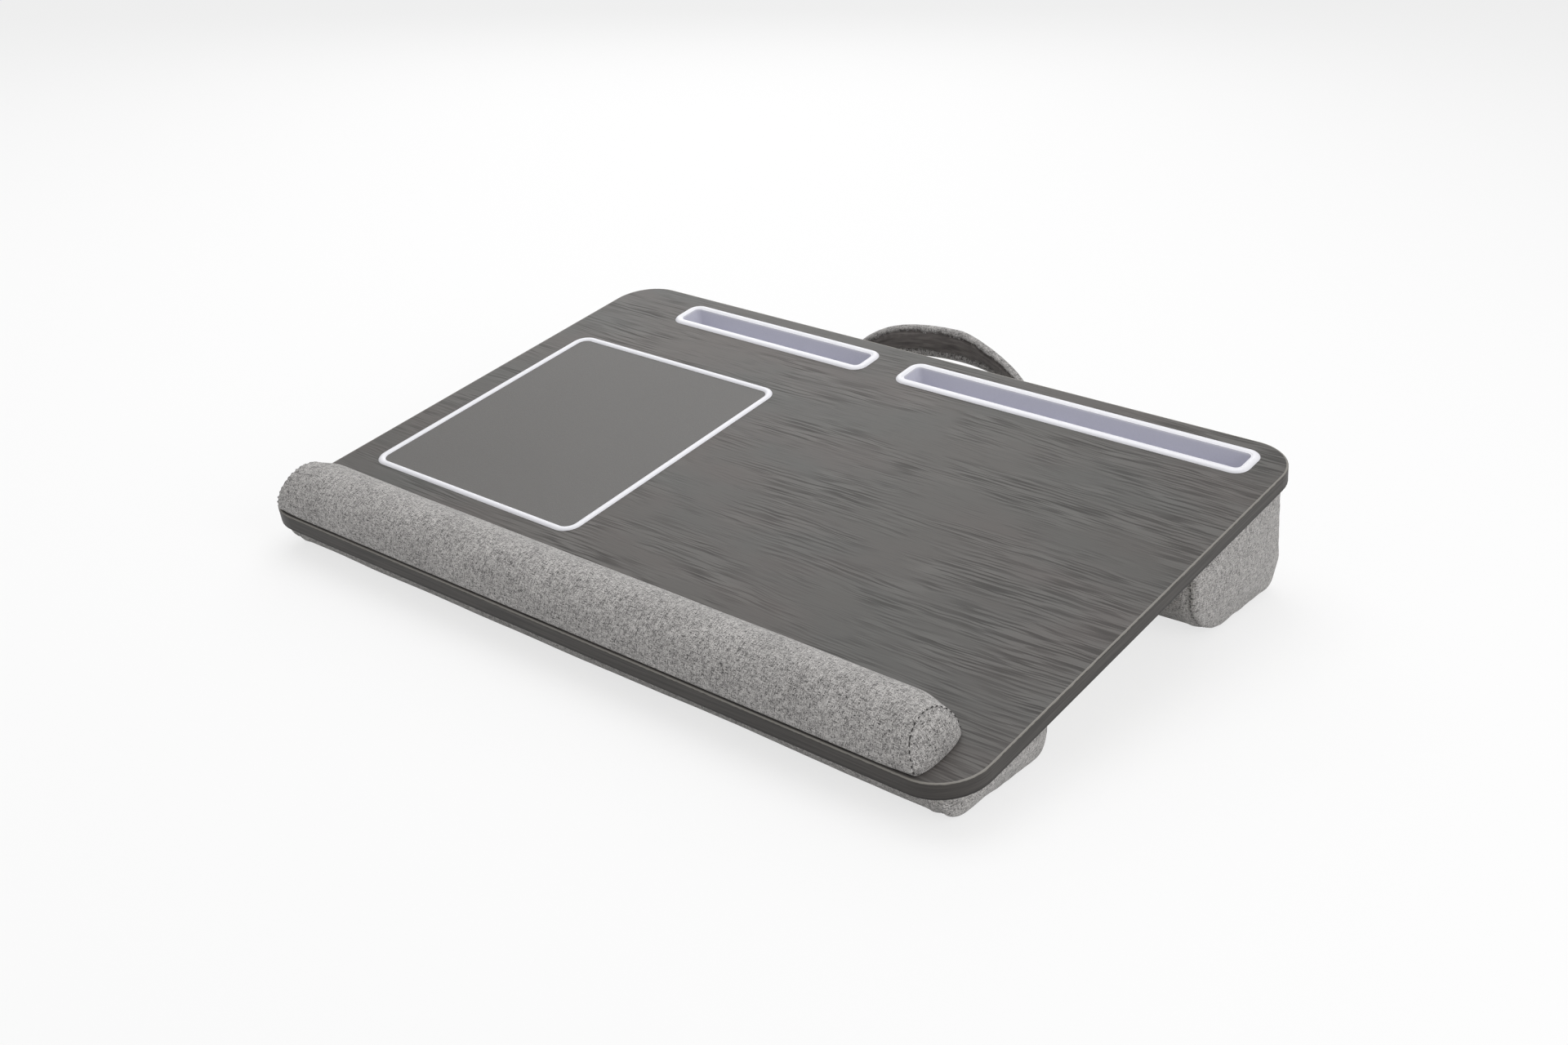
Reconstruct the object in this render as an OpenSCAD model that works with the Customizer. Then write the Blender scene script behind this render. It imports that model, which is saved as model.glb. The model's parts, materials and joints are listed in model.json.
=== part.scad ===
// Lap desk: a wood-grain board on two fabric cushions, with a padded wrist rest,
// a flush mouse pad, two media trays and a soft carry handle.
// The board leans on its cushions; its own frame has X along the board from the
// middle, Y from the front edge to the rear and Z up from the top surface.

/* [Board] */
// Width of the board, left to right
board_w = 550; // [500:1:620]
// Depth of the board, front to rear
board_d = 371; // [360:1:420]
// Thickness of the board with its laminates
board_t = 10; // [8:0.5:14]
// Radius of the board's corners
board_r = 30; // [20:1:45]
// Thickness of the laminate on the top and on the underside
skin_t = 0.5; // [0.3:0.1:1]
// Thickness of the edge band
band_t = 1.2; // [0.8:0.1:3]
// Chamfer along the top arris of the edge band
arris = 0.6; // [0.2:0.1:1]
// Angle at which the board leans towards the user
tilt = 9.76; // [8:0.01:11]
// Height of the top surface above the table at the front edge
front_h = 29.3; // [28:0.1:36]
// Thickness of the lining cloth under the board
cloth_t = 1.2; // [0.8:0.1:2]
// Distance of the lining cloth from the board's edge
cloth_in = 3; // [2:0.5:8]

/* [Mouse pad] */
// Width of the white rim, outside
pad_w = 187; // [140:1:200]
// Depth of the white rim, outside
pad_d = 205; // [150:1:220]
// Distance of the rim from the board's left edge
pad_left = 22.4; // [15:0.1:30]
// Distance of the rim from the board's front edge
pad_front = 76.4; // [70:0.1:90]
// Outer corner radius of the rim
pad_r = 11.5; // [8:0.5:20]
// Width of the rim's bead
rim_w = 4.8; // [4:0.1:7]
// Height of the bead above the board
rim_h = 1.2; // [0.6:0.1:2]
// Thickness of the tongue that holds the rim in its groove
tongue_t = 1.8; // [1:0.1:2]
// Depth of the tongue below the board's top
tongue_h = 2.8; // [2.4:0.1:4]
// Thickness of the pad's soft rubber base
pad_base_t = 1.4; // [1:0.1:1.6]
// Thickness of the pad's smooth face
pad_face_t = 0.6; // [0.4:0.1:0.8]

/* [Trays] */
// Length of the short tray's flange
phone_len = 176; // [120:1:200]
// Distance of the short tray from the board's left edge
phone_left = 65; // [40:1:80]
// Distance between the short tray and the long one, which fills what is left of the width
tray_gap = 27; // [20:0.5:40]
// Distance of the long tray from the board's right edge
tablet_right = 20.5; // [18:0.5:40]
// Front-to-rear width of a tray's flange
tray_w = 30; // [26:0.5:34]
// Distance of the trays from the board's rear edge
tray_rear = 11.5; // [11:0.5:14]
// Corner radius of the flange
tray_r = 9.5; // [9:0.5:13]
// Width of the flange, from its edge to the mouth
flange_w = 5.5; // [4.5:0.1:7]
// Height of the flange above the board
flange_h = 1.5; // [1:0.1:2.5]
// Wall thickness of the trays
tray_wall = 1.6; // [1.2:0.1:2.4]
// Depth of the trays below the board's top
tray_depth = 20; // [17:0.5:24]
// Radius between the floor and the walls of a tray, inside
tray_floor_r = 3; // [1.5:0.5:3.5]
// Reach of the snap tab at each end of a tray
tab_reach = 0.9; // [0.5:0.1:1.2]
// Width of a snap tab
tab_w = 8; // [5:0.5:10]

/* [Wrist rest] */
// Depth of the wrist rest where it sits on the board
wrist_d = 50; // [40:0.5:60]
// Height of the wrist rest's crown
wrist_h = 26.5; // [14:0.5:30]
// Distance of its left end from the board's left edge
wrist_left = 15; // [4:0.5:30]
// Distance of its right end from the board's right edge
wrist_right = 24.5; // [4:0.5:30]
// Distance of its front line from the board's front edge
wrist_front = 0.8; // [0:0.1:6]
// How far each end panel leans in from its foot to its top
wrist_lean = 7; // [2:0.5:12]
// Thickness of the stiff backing strip
backing_t = 2; // [1.5:0.1:3]

/* [Cushions] */
// Distance of both cushions' ends from the board's side edges
cushion_in = 3; // [2:0.5:20]
// Front-to-rear depth of the front cushion
front_cushion_d = 92; // [75:1:100]
// Distance of the front cushion from the board's front edge
front_cushion_in = 10; // [6:0.5:20]
// Radius of the front cushion's lower front edge
front_cushion_rf = 16; // [12:1:20]
// Radius of the front cushion's lower rear edge
front_cushion_rr = 12; // [8:1:16]
// Front-to-rear depth of the rear cushion
rear_cushion_d = 112; // [95:1:125]
// Distance of the rear cushion from the board's rear edge
rear_cushion_in = 10; // [9:0.5:10.5]
// Radius of the rear cushion's lower front edge
rear_cushion_rf = 38; // [25:1:42]
// Radius of the rear cushion's lower rear edge
rear_cushion_rr = 20; // [12:1:30]
// Radius of both cushions' upper edges, at the seam to the lining
cushion_rt = 3; // [2:0.5:4]
// Rounding of the cushions towards their end panels
cushion_end_r = 11; // [8:1:20]
// Belly of each end panel
cushion_dome = 5; // [1:0.5:6]
// Crown of the cushions' undersides
cushion_crown = 1.6; // [0.5:0.1:3]
// Thickness of the padded fabric of all covers
cover_t = 1.5; // [1:0.1:2.5]

/* [Handle] */
// Half of the distance between the handle's two feet
handle_half = 68; // [50:1:80]
// Reach of the handle's middle line beyond its fold line
handle_reach = 26.5; // [22:0.5:36]
// Thickness of the padded handle band
handle_t = 8; // [6:0.5:9]
// Height of the handle band
handle_h = 18.5; // [14:0.5:24]
// Height of the band's lower edge below the board's top
handle_drop = 13.5; // [12:0.5:16]
// Radius of the rolled hem at each foot
hem_r = 2; // [1.5:0.1:2.2]
// Width of each foot and of its tail
tail_w = 20; // [14:0.5:24]
// Thickness of the flat tails under the board
tail_t = 2.4; // [1.5:0.1:3]
// Radius of the staple wire
wire_r = 0.5; // [0.4:0.05:0.6]
// Width of a staple
staple_w = 10; // [8:0.5:12]
// Depth of a staple's legs in the board
staple_bite = 6; // [4:0.5:7]

/* [Hidden] */
$fn = 64;

// Clearances and small fixed sizes
fit = 0.2;           // round a piece that drops into its recess
slot_fit = 0.3;      // round a tray in its slot, and round the handle's hem
fill_gap = 0.2;      // between a filling and its cover
pocket_gap = 0.6;    // round what sinks into the rear cushion
flat_cut = 0.5;      // how deep the cushions are pressed flat by the table
wire_fit = 0.02;     // round a staple's wire
side_min = 0.8;      // least straight height between the roundings of a cushion's front
edge_min = 0.3;      // least radius of a cushion's upper edge, under the skin
over = 1;            // how far a cutter reaches past a face
far = 1000;          // reach of the blocks that cut at a plane

// Levels in the board's frame
under = -board_t;
cloth_z = under - cloth_t;

// The board in the part's own frame
wide = board_w / 2;
pad_t = pad_base_t + pad_face_t;
fold_y = board_d + hem_r + slot_fit + fit;
fold_z = under - hem_r - fit;
band_soft = 0.35;    // share of the band's half thickness that its edges are bevelled
wrist_radius = (pow(wrist_d / 2, 2) + pow(wrist_h, 2)) / (2 * wrist_h);
wrist_steps = 14;
// How far behind the front edge's line the foremost points of the wrist rest and of the
// whole part lie
wrist_fore = min([for (p = wrist_ring(0, 0, 0)) p[1] * cos(tilt) - p[2] * sin(tilt)]);
front_reach = min(arris * sin(tilt), wrist_fore);
rear_reach = (fold_y + handle_reach + handle_t / 2) * cos(tilt)
    + (handle_drop - band_soft * handle_t / 2) * sin(tilt);
board_y = -(front_reach + rear_reach) / 2;

// Mouse pad
tongue_out = (rim_w - tongue_t) / 2;
pad_in = tongue_out + tongue_t + fit;

// Trays: the outside of the tub, measured in from the flange's edge
tray_y = board_d - tray_rear - tray_w;
tub_in = flange_w - tray_wall;
tub_bottom = -tray_depth - tray_wall;
phone_x = -wide + phone_left;
tablet_x = phone_x + phone_len + tray_gap;
tablet_len = wide - tablet_right - tablet_x;

// Wrist rest
wrist_x0 = -wide + wrist_left;
wrist_x1 = wide - wrist_right;
wrist_end_cut = cover_t / cos(atan(wrist_lean / wrist_h));

// Cushions
cushion_half = wide - cushion_in;
front_y0 = front_cushion_in;
front_y1 = front_y0 + front_cushion_d;
rear_y1 = board_d - rear_cushion_in;
rear_y0 = rear_y1 - rear_cushion_d;
front_rf = front_r(front_y0, front_cushion_rf);
rear_rf = front_r(rear_y0, rear_cushion_rf);
dome_x = [0.6, 0.9];       // how far out two rings of an end panel's belly lie, as shares
seam_x = cushion_half - cushion_end_r - dome_x[1] * cushion_dome;
corner_steps = 6;
end_steps = 4;

// Handle: the middle line is an arc through both feet
arc_r = (pow(handle_half, 2) + pow(handle_reach, 2)) / (2 * handle_reach);
arc_a = asin(handle_half / arc_r);
band_top = handle_h - handle_drop - fold_z;
band_low = -handle_drop - fold_z;
handle_steps = 26;
foam_reach = 0.9;    // share of the band, from foot to foot, that its foam fills
tail_y0 = rear_y1 - cushion_rt - fit;
tail_y1 = board_d + fit;

// Frame of the board
module on_board() {
    translate([0, board_y, front_h]) rotate([tilt, 0, 0]) children();
}

// Rectangle with round corners, its lower left corner at the origin
module outline(w, d, r) {
    translate([r, 0]) square([w - 2 * r, d]);
    translate([0, r]) square([w, d - 2 * r]);
    for (x = [r, w - r], y = [r, d - r]) translate([x, y]) circle(r);
}

// The same outline, drawn in by an amount on all sides
module outline_in(w, d, r, by) {
    translate([by, by]) outline(w - 2 * by, d - 2 * by, max(r - by, 0.6));
}

// A profile carried round such an outline: its X points outwards from the outline
module ring_sweep(w, d, r) {
    corners = [[w - r, d - r, 0], [r, d - r, 90], [r, r, 180], [w - r, r, 270]];
    sides = [[w, d - r, 0, d - 2 * r], [r, d, 90, w - 2 * r],
             [0, r, 180, d - 2 * r], [w - r, 0, 270, w - 2 * r]];
    for (c = corners)
        translate([c[0], c[1], 0]) rotate([0, 0, c[2]])
            rotate_extrude(angle = 90) translate([r, 0]) children();
    for (s = sides)
        translate([s[0], s[1], 0]) rotate([0, 0, s[2]])
            rotate([90, 0, 0]) linear_extrude(s[3]) children();
}

// Cross section of a bead with a round crown, from x = -w to 0
module crowned(w, h) {
    r = (w * w / 4 + h * h) / (2 * h);
    intersection() {
        translate([-w / 2, h - r]) circle(r);
        translate([-w, 0]) square([w, h + over]);
    }
}

// A plate of the board between two levels
module plate(by, z0, z1) {
    translate([-wide, 0, z0]) linear_extrude(z1 - z0) outline_in(board_w, board_d, board_r, by);
}

// Points of an arc in the Y-Z plane
function arc(y, z, r, a0, a1, n) =
    [for (i = [0:n]) let (a = a0 + (a1 - a0) * i / n) [y + r * cos(a), z + r * sin(a)]];

// A closed skin over rings of points that all have the same count. It is closed by a
// flat cap at each end, or runs on from the last ring to the first if loop is true
module loft(rings, loop = false) {
    n = len(rings[0]);
    m = len(rings);
    sides = [for (i = [0:m - (loop ? 1 : 2)], j = [0:n - 1])
        let (k = (i + 1) % m * n - i * n, a = i * n + j, b = i * n + (j + 1) % n)
        each [[a, b + k, b], [a, a + k, b + k]]];
    first = [for (j = [1:n - 2]) [0, j, j + 1]];
    last = [for (j = [1:n - 2]) [(m - 1) * n, (m - 1) * n + j + 1, (m - 1) * n + j]];
    polyhedron([for (r = rings) each r], loop ? sides : concat(sides, first, last),
               convexity = 4);
}

// Mouse pad and its seat
module pad_place() {
    translate([-wide + pad_left, pad_front, 0]) children();
}

module pad_recess() {
    pad_place() {
        translate([0, 0, -pad_t]) linear_extrude(pad_t + over)
            outline_in(pad_w, pad_d, pad_r, pad_in - fit);
        translate([0, 0, -tongue_h - fit]) linear_extrude(tongue_h + fit + over) difference() {
            outline_in(pad_w, pad_d, pad_r, tongue_out - fit);
            outline_in(pad_w, pad_d, pad_r, pad_in - fit);
        }
    }
}

// Trays and their slots
module tub_slot(x, len, gap_x, gap_y, z0, z1) {
    w = len - 2 * tub_in + 2 * gap_x;
    d = tray_w - 2 * tub_in + 2 * gap_y;
    translate([x + tub_in - gap_x, tray_y + tub_in - gap_y, z0])
        linear_extrude(z1 - z0) outline(w, d, tray_r - tub_in + min(gap_x, gap_y));
}

module tray_slots(gap_x, gap_y, z0, z1) {
    tub_slot(phone_x, phone_len, gap_x, gap_y, z0, z1);
    tub_slot(tablet_x, tablet_len, gap_x, gap_y, z0, z1);
}

// A tub with round upright corners and a round edge to its floor, open at the top
module basin(w, d, h, r, floor_r) {
    translate([0, 0, floor_r]) linear_extrude(h - floor_r) outline(w, d, r);
    linear_extrude(floor_r) outline_in(w, d, r, floor_r);
    ring_sweep(w, d, r) intersection() {
        translate([-floor_r, floor_r]) circle(floor_r);
        translate([-floor_r, 0]) square(floor_r);
    }
}

module tray(x, len) {
    mouth_r = tray_r - flange_w;
    floor_r = min(tray_floor_r, mouth_r - 0.5);
    translate([x, tray_y, 0]) difference() {
        union() {
            ring_sweep(len, tray_w, tray_r) crowned(flange_w, flange_h);
            translate([tub_in, tub_in, tub_bottom])
                basin(len - 2 * tub_in, tray_w - 2 * tub_in, flange_h / 2 - tub_bottom,
                      mouth_r + tray_wall, floor_r + tray_wall);
            for (side = [0, 1])
                translate([side * len, tray_w / 2, under - fit])
                    mirror([side, 0, 0]) translate([tub_in, 0, 0]) snap_tab();
        }
        translate([flange_w, flange_w, -tray_depth])
            basin(len - 2 * flange_w, tray_w - 2 * flange_w, tray_depth + flange_h + over,
                  mouth_r, floor_r);
    }
}

// Wedge that holds a tray against the underside of the board
module snap_tab() {
    rotate([90, 0, 0]) linear_extrude(tab_w, center = true)
        polygon([[over, 0], [-tab_reach, 0], [-tab_reach, -tab_reach],
                 [0, -4 * tab_reach], [over, -4 * tab_reach]]);
}

// Wrist rest: one ring of its D-shaped section, thinner by a skin
function wrist_ring(x, lean, skin) =
    let (r = wrist_radius - skin,
         z0 = wrist_h - wrist_radius,
         a = asin((skin - z0) / r),
         pts = arc(wrist_front + wrist_d / 2, z0, r, a, 180 - a, wrist_steps))
    [for (p = pts) [x - lean * p[1] / wrist_h, p[0], p[1]]];

module wrist_form(skin) {
    slim = skin / cos(atan(wrist_lean / wrist_h));
    x0 = wrist_x0 + slim;
    x1 = wrist_x1 - slim;
    loft([wrist_ring(x0, -wrist_lean, skin),
          wrist_ring(x0 + 3 * wrist_lean, 0, skin),
          wrist_ring((x0 + x1) / 2, 0, skin),
          wrist_ring(x1 - 3 * wrist_lean, 0, skin),
          wrist_ring(x1, wrist_lean, skin)]);
}

// All that lies outside the slanted seam at one end: side 0 is the left
module wrist_end_block(side) {
    foot = side == 0 ? wrist_x0 + wrist_end_cut : wrist_x1 - wrist_end_cut;
    dir = side == 0 ? 1 : -1;
    translate([foot, wrist_front - over, 0]) rotate([90, 0, 0]) mirror([0, 0, 1])
        linear_extrude(wrist_d + 2 * over)
            polygon([[-dir * far, -over], [-dir * over * wrist_lean / wrist_h, -over],
                     [dir * 2 * wrist_lean, 2 * wrist_h], [-dir * far, 2 * wrist_h]]);
}

module wrist_shell() {
    difference() {
        wrist_form(0);
        wrist_form(cover_t);
    }
}

// Cushions: radius of the lower front edge, limited by the height of the front side
function front_r(y0, rf) =
    min(rf, ((cloth_z - cushion_rt - side_min) * cos(tilt) + flat_cut + front_h
             + y0 * sin(tilt)) / (1 - sin(tilt)));

// Lowest line of the underside, so that its round front edge meets the table
function bottom_z(y0, rf) =
    (rf - flat_cut - front_h - (y0 + rf) * sin(tilt)) / cos(tilt) - rf;

// Section of a cushion, thinner by a skin
function cushion_section(y0, y1, rf, rr, skin) =
    let (zb = bottom_z(y0, rf),
         rt = max(cushion_rt - skin, edge_min),
         zt = cloth_z - skin - rt,
         ya = y0 + rf,
         yb = y1 - rr,
         belly = [for (i = [1:4]) let (v = i / 5)
             [ya + (yb - ya) * v, zb + skin - cushion_crown * 4 * v * (1 - v)]])
    concat(arc(y0 + skin + rt, zt, rt, 90, 180, 2),
           arc(ya, zb + rf, rf - skin, 180, 270, corner_steps),
           belly,
           arc(yb, zb + rr, rr - skin, 270, 360, corner_steps),
           arc(y1 - skin - rt, zt, rt, 0, 90, 2));

// One end of a cushion: x of each ring beyond the straight part, how far the rounding
// has drawn it in there, and its share of the end panel's outline
function end_rows(skin) =
    let (r = cushion_end_r - skin)
    concat([for (i = [0:end_steps]) let (a = 90 * i / end_steps)
               [r * sin(a), r * (1 - cos(a)), 1]],
           [for (s = dome_x) [r + cushion_dome * s, r, sqrt(1 - s * s)]]);

// Rings of one end of a cushion, from the seam of its end panel outwards. They draw in
// towards the middle of the lining
function end_rings(y0, y1, rf, rr, skin) =
    let (section = cushion_section(y0, y1, rf, rr, skin),
         mid_y = (y0 + y1) / 2,
         mid_z = cloth_z - skin,
         half_d = (y1 - y0) / 2 - skin,
         high = mid_z - bottom_z(y0, rf) - skin)
    [for (row = end_rows(skin)) [for (p = section)
        [seam_x + row[0],
         mid_y + (p[0] - mid_y) * (1 - row[1] / half_d) * row[2],
         mid_z + (p[1] - mid_z) * (1 - row[1] / high) * row[2]]]];

// Rings of the straight stretch between the two end seams
function straight_rings(y0, y1, rf, rr, skin) =
    let (section = cushion_section(y0, y1, rf, rr, skin))
    [for (x = [-1, -1 / 3, 1 / 3, 1]) [for (p = section) [x * seam_x, p[0], p[1]]]];

function backwards(list) = [for (i = [len(list) - 1:-1:0]) list[i]];

function mirrored(ring) = [for (p = ring) [-p[0], p[1], p[2]]];

module cushion_filling(y0, y1, rf, rr) {
    ends = end_rings(y0, y1, rf, rr, cover_t + fill_gap);
    loft(concat([for (r = backwards(ends)) mirrored(r)], ends));
}

// The wrap of a cushion's cover, open at its end seams
module cushion_wrap(y0, y1, rf, rr) {
    loft(concat(straight_rings(y0, y1, rf, rr, 0),
                backwards(straight_rings(y0, y1, rf, rr, cover_t))), loop = true);
}

// An end panel of a cushion's cover: side 0 is the left
module cushion_end(y0, y1, rf, rr, side) {
    mirror([side == 0 ? 1 : 0, 0, 0])
        loft(concat(backwards(end_rings(y0, y1, rf, rr, cover_t)),
                    end_rings(y0, y1, rf, rr, 0)));
}

// Everything below the table
module table_block() {
    translate([-far / 2, -far / 2, -far]) cube([far, far, far]);
}

// Colour and place of a cushion's cover, pressed flat by the table
module cover_place() {
    color([0.56, 0.55, 0.53]) difference() {
        on_board() children();
        table_block();
    }
}

// The room that the trays and the handle's tails take in the rear cushion
module sunk_pieces() {
    tray_slots(pocket_gap + tab_reach, pocket_gap, tub_bottom - pocket_gap, cloth_z + over);
    for (side = [-1, 1])
        translate([side * handle_half - tail_w / 2 - pocket_gap, tail_y0 - pocket_gap,
                   under - tail_t - 2 * wire_r - fit])
            cube([tail_w + 2 * pocket_gap, far, tail_t + 2 * wire_r + fit + over]);
}

// Handle: height of the band's upper edge over the fold line, low near the feet so
// that the loop can swing up past the board's rear edge
function band_rise(dy) = min(band_top, hem_r + max(dy, 0) * (dy < 8 ? 1 : 1 + (dy - 8) / 6));

function band_ring(a, skin) =
    let (dy = handle_reach - arc_r * (1 - cos(a)),
         u = abs(a) / arc_a,
         half_t = (handle_t / 2) * (1 - 0.5 * pow(u, 4)) - skin,
         inner = dy - half_t - skin,
         arch = hem_r + (band_top - hem_r) * sqrt(max(1 - pow(u, 3), 0)),
         top = max(min(band_rise(inner), arch), hem_r) - skin,
         low = max(band_low, -hem_r - max(dy, 0)) + skin,
         c = band_soft * half_t,
         prof = [[half_t, low + c], [half_t, top - c], [half_t - c, top], [c - half_t, top],
                 [-half_t, top - c], [-half_t, low + c], [c - half_t, low], [half_t - c, low]])
    [for (p = prof) [(arc_r + p[0]) * sin(a),
                     fold_y + handle_reach - arc_r + (arc_r + p[0]) * cos(a),
                     fold_z + p[1]]];

module band_form(skin, reach) {
    loft([for (i = [0:handle_steps]) band_ring(reach * arc_a * (2 * i / handle_steps - 1), skin)]);
}

module hem(side) {
    translate([side * handle_half - tail_w / 2, fold_y, fold_z])
        rotate([0, 90, 0]) cylinder(h = tail_w, r = hem_r);
}

module tail(side) {
    difference() {
        translate([side * handle_half - tail_w / 2, tail_y0, under - tail_t])
            cube([tail_w, tail_y1 - tail_y0, tail_t]);
        staple(side, wire_fit);
    }
}

// One staple across a tail: its crown lies under the tail, its legs rise into the board
module staple(side, gap) {
    y = (tail_y0 + tail_y1) / 2;
    z = under - tail_t - wire_r;
    translate([side * handle_half, y, z]) {
        rotate([0, 90, 0]) cylinder(h = staple_w + 2 * gap, r = wire_r + gap, center = true);
        for (x = [-1, 1]) translate([x * (staple_w / 2 - wire_r), 0, 0])
            cylinder(h = wire_r + tail_t + staple_bite + gap, r = wire_r + gap);
    }
}

// The pieces

module board_core() {
    color([0.62, 0.52, 0.40]) on_board() difference() {
        plate(band_t, under + skin_t, -skin_t);
        tray_slots(slot_fit, slot_fit, under - over, over);
        pad_recess();
        for (side = [-1, 1]) staple(side, wire_fit);
    }
}

module top_laminate() {
    color([0.40, 0.39, 0.37]) on_board() difference() {
        plate(band_t, -skin_t, 0);
        tray_slots(slot_fit, slot_fit, under - over, over);
        pad_recess();
    }
}

module bottom_laminate() {
    color([0.72, 0.68, 0.60]) on_board() difference() {
        plate(band_t, under, under + skin_t);
        tray_slots(slot_fit, slot_fit, under - over, over);
        for (side = [-1, 1]) staple(side, wire_fit);
    }
}

module edge_band() {
    color([0.30, 0.29, 0.27]) on_board() translate([-wide, 0, 0])
        ring_sweep(board_w, board_d, board_r)
            polygon([[-band_t, under], [0, under], [0, -arris], [-arris, 0], [-band_t, 0]]);
}

module lining_cloth() {
    color([0.86, 0.84, 0.78]) on_board() difference() {
        plate(cloth_in, cloth_z, under);
        tray_slots(pocket_gap + tab_reach, pocket_gap, cloth_z - over, over);
        for (side = [-1, 1])
            translate([side * handle_half - tail_w / 2 - fit, tail_y0 - fit, cloth_z - over])
                cube([tail_w + 2 * fit, far, cloth_t + 2 * over]);
    }
}

module mouse_pad_face() {
    color([0.46, 0.45, 0.43]) on_board() pad_place()
        translate([0, 0, -pad_face_t]) linear_extrude(pad_face_t)
            outline_in(pad_w, pad_d, pad_r, pad_in);
}

module mouse_pad_base() {
    color([0.15, 0.15, 0.15]) on_board() pad_place()
        translate([0, 0, -pad_t]) linear_extrude(pad_base_t)
            outline_in(pad_w, pad_d, pad_r, pad_in);
}

module mouse_pad_rim() {
    color([0.93, 0.93, 0.95]) on_board() pad_place() ring_sweep(pad_w, pad_d, pad_r) {
        union() {
            crowned(rim_w, rim_h);
            translate([-tongue_out - tongue_t, -tongue_h]) square([tongue_t, tongue_h + rim_h / 2]);
        }
    }
}

module phone_tray() {
    color([0.93, 0.93, 0.96]) on_board() tray(phone_x, phone_len);
}

module tablet_tray() {
    color([0.93, 0.93, 0.96]) on_board() tray(tablet_x, tablet_len);
}

module wrist_rest_cover() {
    color([0.57, 0.56, 0.54]) on_board() difference() {
        wrist_shell();
        for (side = [0, 1]) wrist_end_block(side);
    }
}

module wrist_rest_end(side) {
    color([0.57, 0.56, 0.54]) on_board() intersection() {
        wrist_shell();
        wrist_end_block(side);
    }
}

module wrist_rest_end_left() { wrist_rest_end(0); }

module wrist_rest_end_right() { wrist_rest_end(1); }

module wrist_rest_backing() {
    edge = cover_t + fill_gap + backing_t;
    color([0.55, 0.42, 0.28]) on_board()
        translate([wrist_x0 + wrist_lean, wrist_front + edge, cover_t])
            cube([wrist_x1 - wrist_x0 - 2 * wrist_lean, wrist_d - 2 * edge, backing_t]);
}

module wrist_rest_foam() {
    color([0.88, 0.86, 0.70]) on_board() difference() {
        wrist_form(cover_t + fill_gap);
        translate([-far / 2, -over, -over])
            cube([far, wrist_d + 2 * over + wrist_front, over + cover_t + backing_t]);
    }
}

module rear_cushion_cover() {
    cover_place() difference() {
        cushion_wrap(rear_y0, rear_y1, rear_rf, rear_cushion_rr);
        sunk_pieces();
    }
}

module rear_cushion_end(side) {
    cover_place() difference() {
        cushion_end(rear_y0, rear_y1, rear_rf, rear_cushion_rr, side);
        sunk_pieces();
    }
}

module rear_cushion_end_left() { rear_cushion_end(0); }

module rear_cushion_end_right() { rear_cushion_end(1); }

module rear_cushion_filling() {
    color([0.92, 0.92, 0.90]) on_board() difference() {
        cushion_filling(rear_y0, rear_y1, rear_rf, rear_cushion_rr);
        sunk_pieces();
    }
}

module front_cushion_cover() {
    cover_place() cushion_wrap(front_y0, front_y1, front_rf, front_cushion_rr);
}

module front_cushion_end(side) {
    cover_place() cushion_end(front_y0, front_y1, front_rf, front_cushion_rr, side);
}

module front_cushion_end_left() { front_cushion_end(0); }

module front_cushion_end_right() { front_cushion_end(1); }

module front_cushion_filling() {
    color([0.92, 0.92, 0.90]) on_board()
        cushion_filling(front_y0, front_y1, front_rf, front_cushion_rr);
}

module handle_cover() {
    color([0.42, 0.41, 0.40]) on_board() difference() {
        union() {
            band_form(0, 1);
            for (side = [-1, 1]) hem(side);
        }
        band_form(cover_t, foam_reach);
    }
}

module handle_core() {
    color([0.85, 0.83, 0.70]) on_board() band_form(cover_t + fill_gap, foam_reach);
}

module handle_tail_left() { color([0.42, 0.41, 0.40]) on_board() tail(-1); }

module handle_tail_right() { color([0.42, 0.41, 0.40]) on_board() tail(1); }

module handle_staples() {
    color([0.75, 0.75, 0.76]) on_board() for (side = [-1, 1]) staple(side, 0);
}

board_core();
top_laminate();
bottom_laminate();
edge_band();
lining_cloth();
mouse_pad_face();
mouse_pad_base();
mouse_pad_rim();
phone_tray();
tablet_tray();
wrist_rest_cover();
wrist_rest_end_left();
wrist_rest_end_right();
wrist_rest_foam();
wrist_rest_backing();
rear_cushion_cover();
rear_cushion_end_left();
rear_cushion_end_right();
rear_cushion_filling();
front_cushion_cover();
front_cushion_end_left();
front_cushion_end_right();
front_cushion_filling();
handle_cover();
handle_core();
handle_tail_left();
handle_tail_right();
handle_staples();
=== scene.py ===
"""Lap desk with a padded wrist rest, on two fabric cushions.

The fixed frame is loaded first. Its rigid pieces get their finishes, and modelled fabric
stands where the frame has plain soft solids. Lengths are in metres. Most pieces are worked
out in the board's own frame: X from the middle, Y from the front edge, Z from the top."""

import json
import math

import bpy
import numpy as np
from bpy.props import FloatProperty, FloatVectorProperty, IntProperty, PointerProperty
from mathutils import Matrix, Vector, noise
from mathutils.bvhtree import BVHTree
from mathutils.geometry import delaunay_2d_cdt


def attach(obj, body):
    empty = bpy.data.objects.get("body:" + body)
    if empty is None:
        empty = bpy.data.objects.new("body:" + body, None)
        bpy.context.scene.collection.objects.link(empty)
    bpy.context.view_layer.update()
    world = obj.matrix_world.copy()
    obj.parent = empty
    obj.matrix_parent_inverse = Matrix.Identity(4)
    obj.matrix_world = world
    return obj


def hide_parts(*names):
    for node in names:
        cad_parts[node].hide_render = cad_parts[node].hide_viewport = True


bl_info = {
    "name": "Lap Desk",
    "version": (1, 0, 0),
    "blender": (4, 5, 0),
    "location": "View3D > Sidebar > Lap Desk",
    "description": "Finishes a lap desk's rigid pieces and makes its fabric ones",
    "category": "Object",
}

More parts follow.
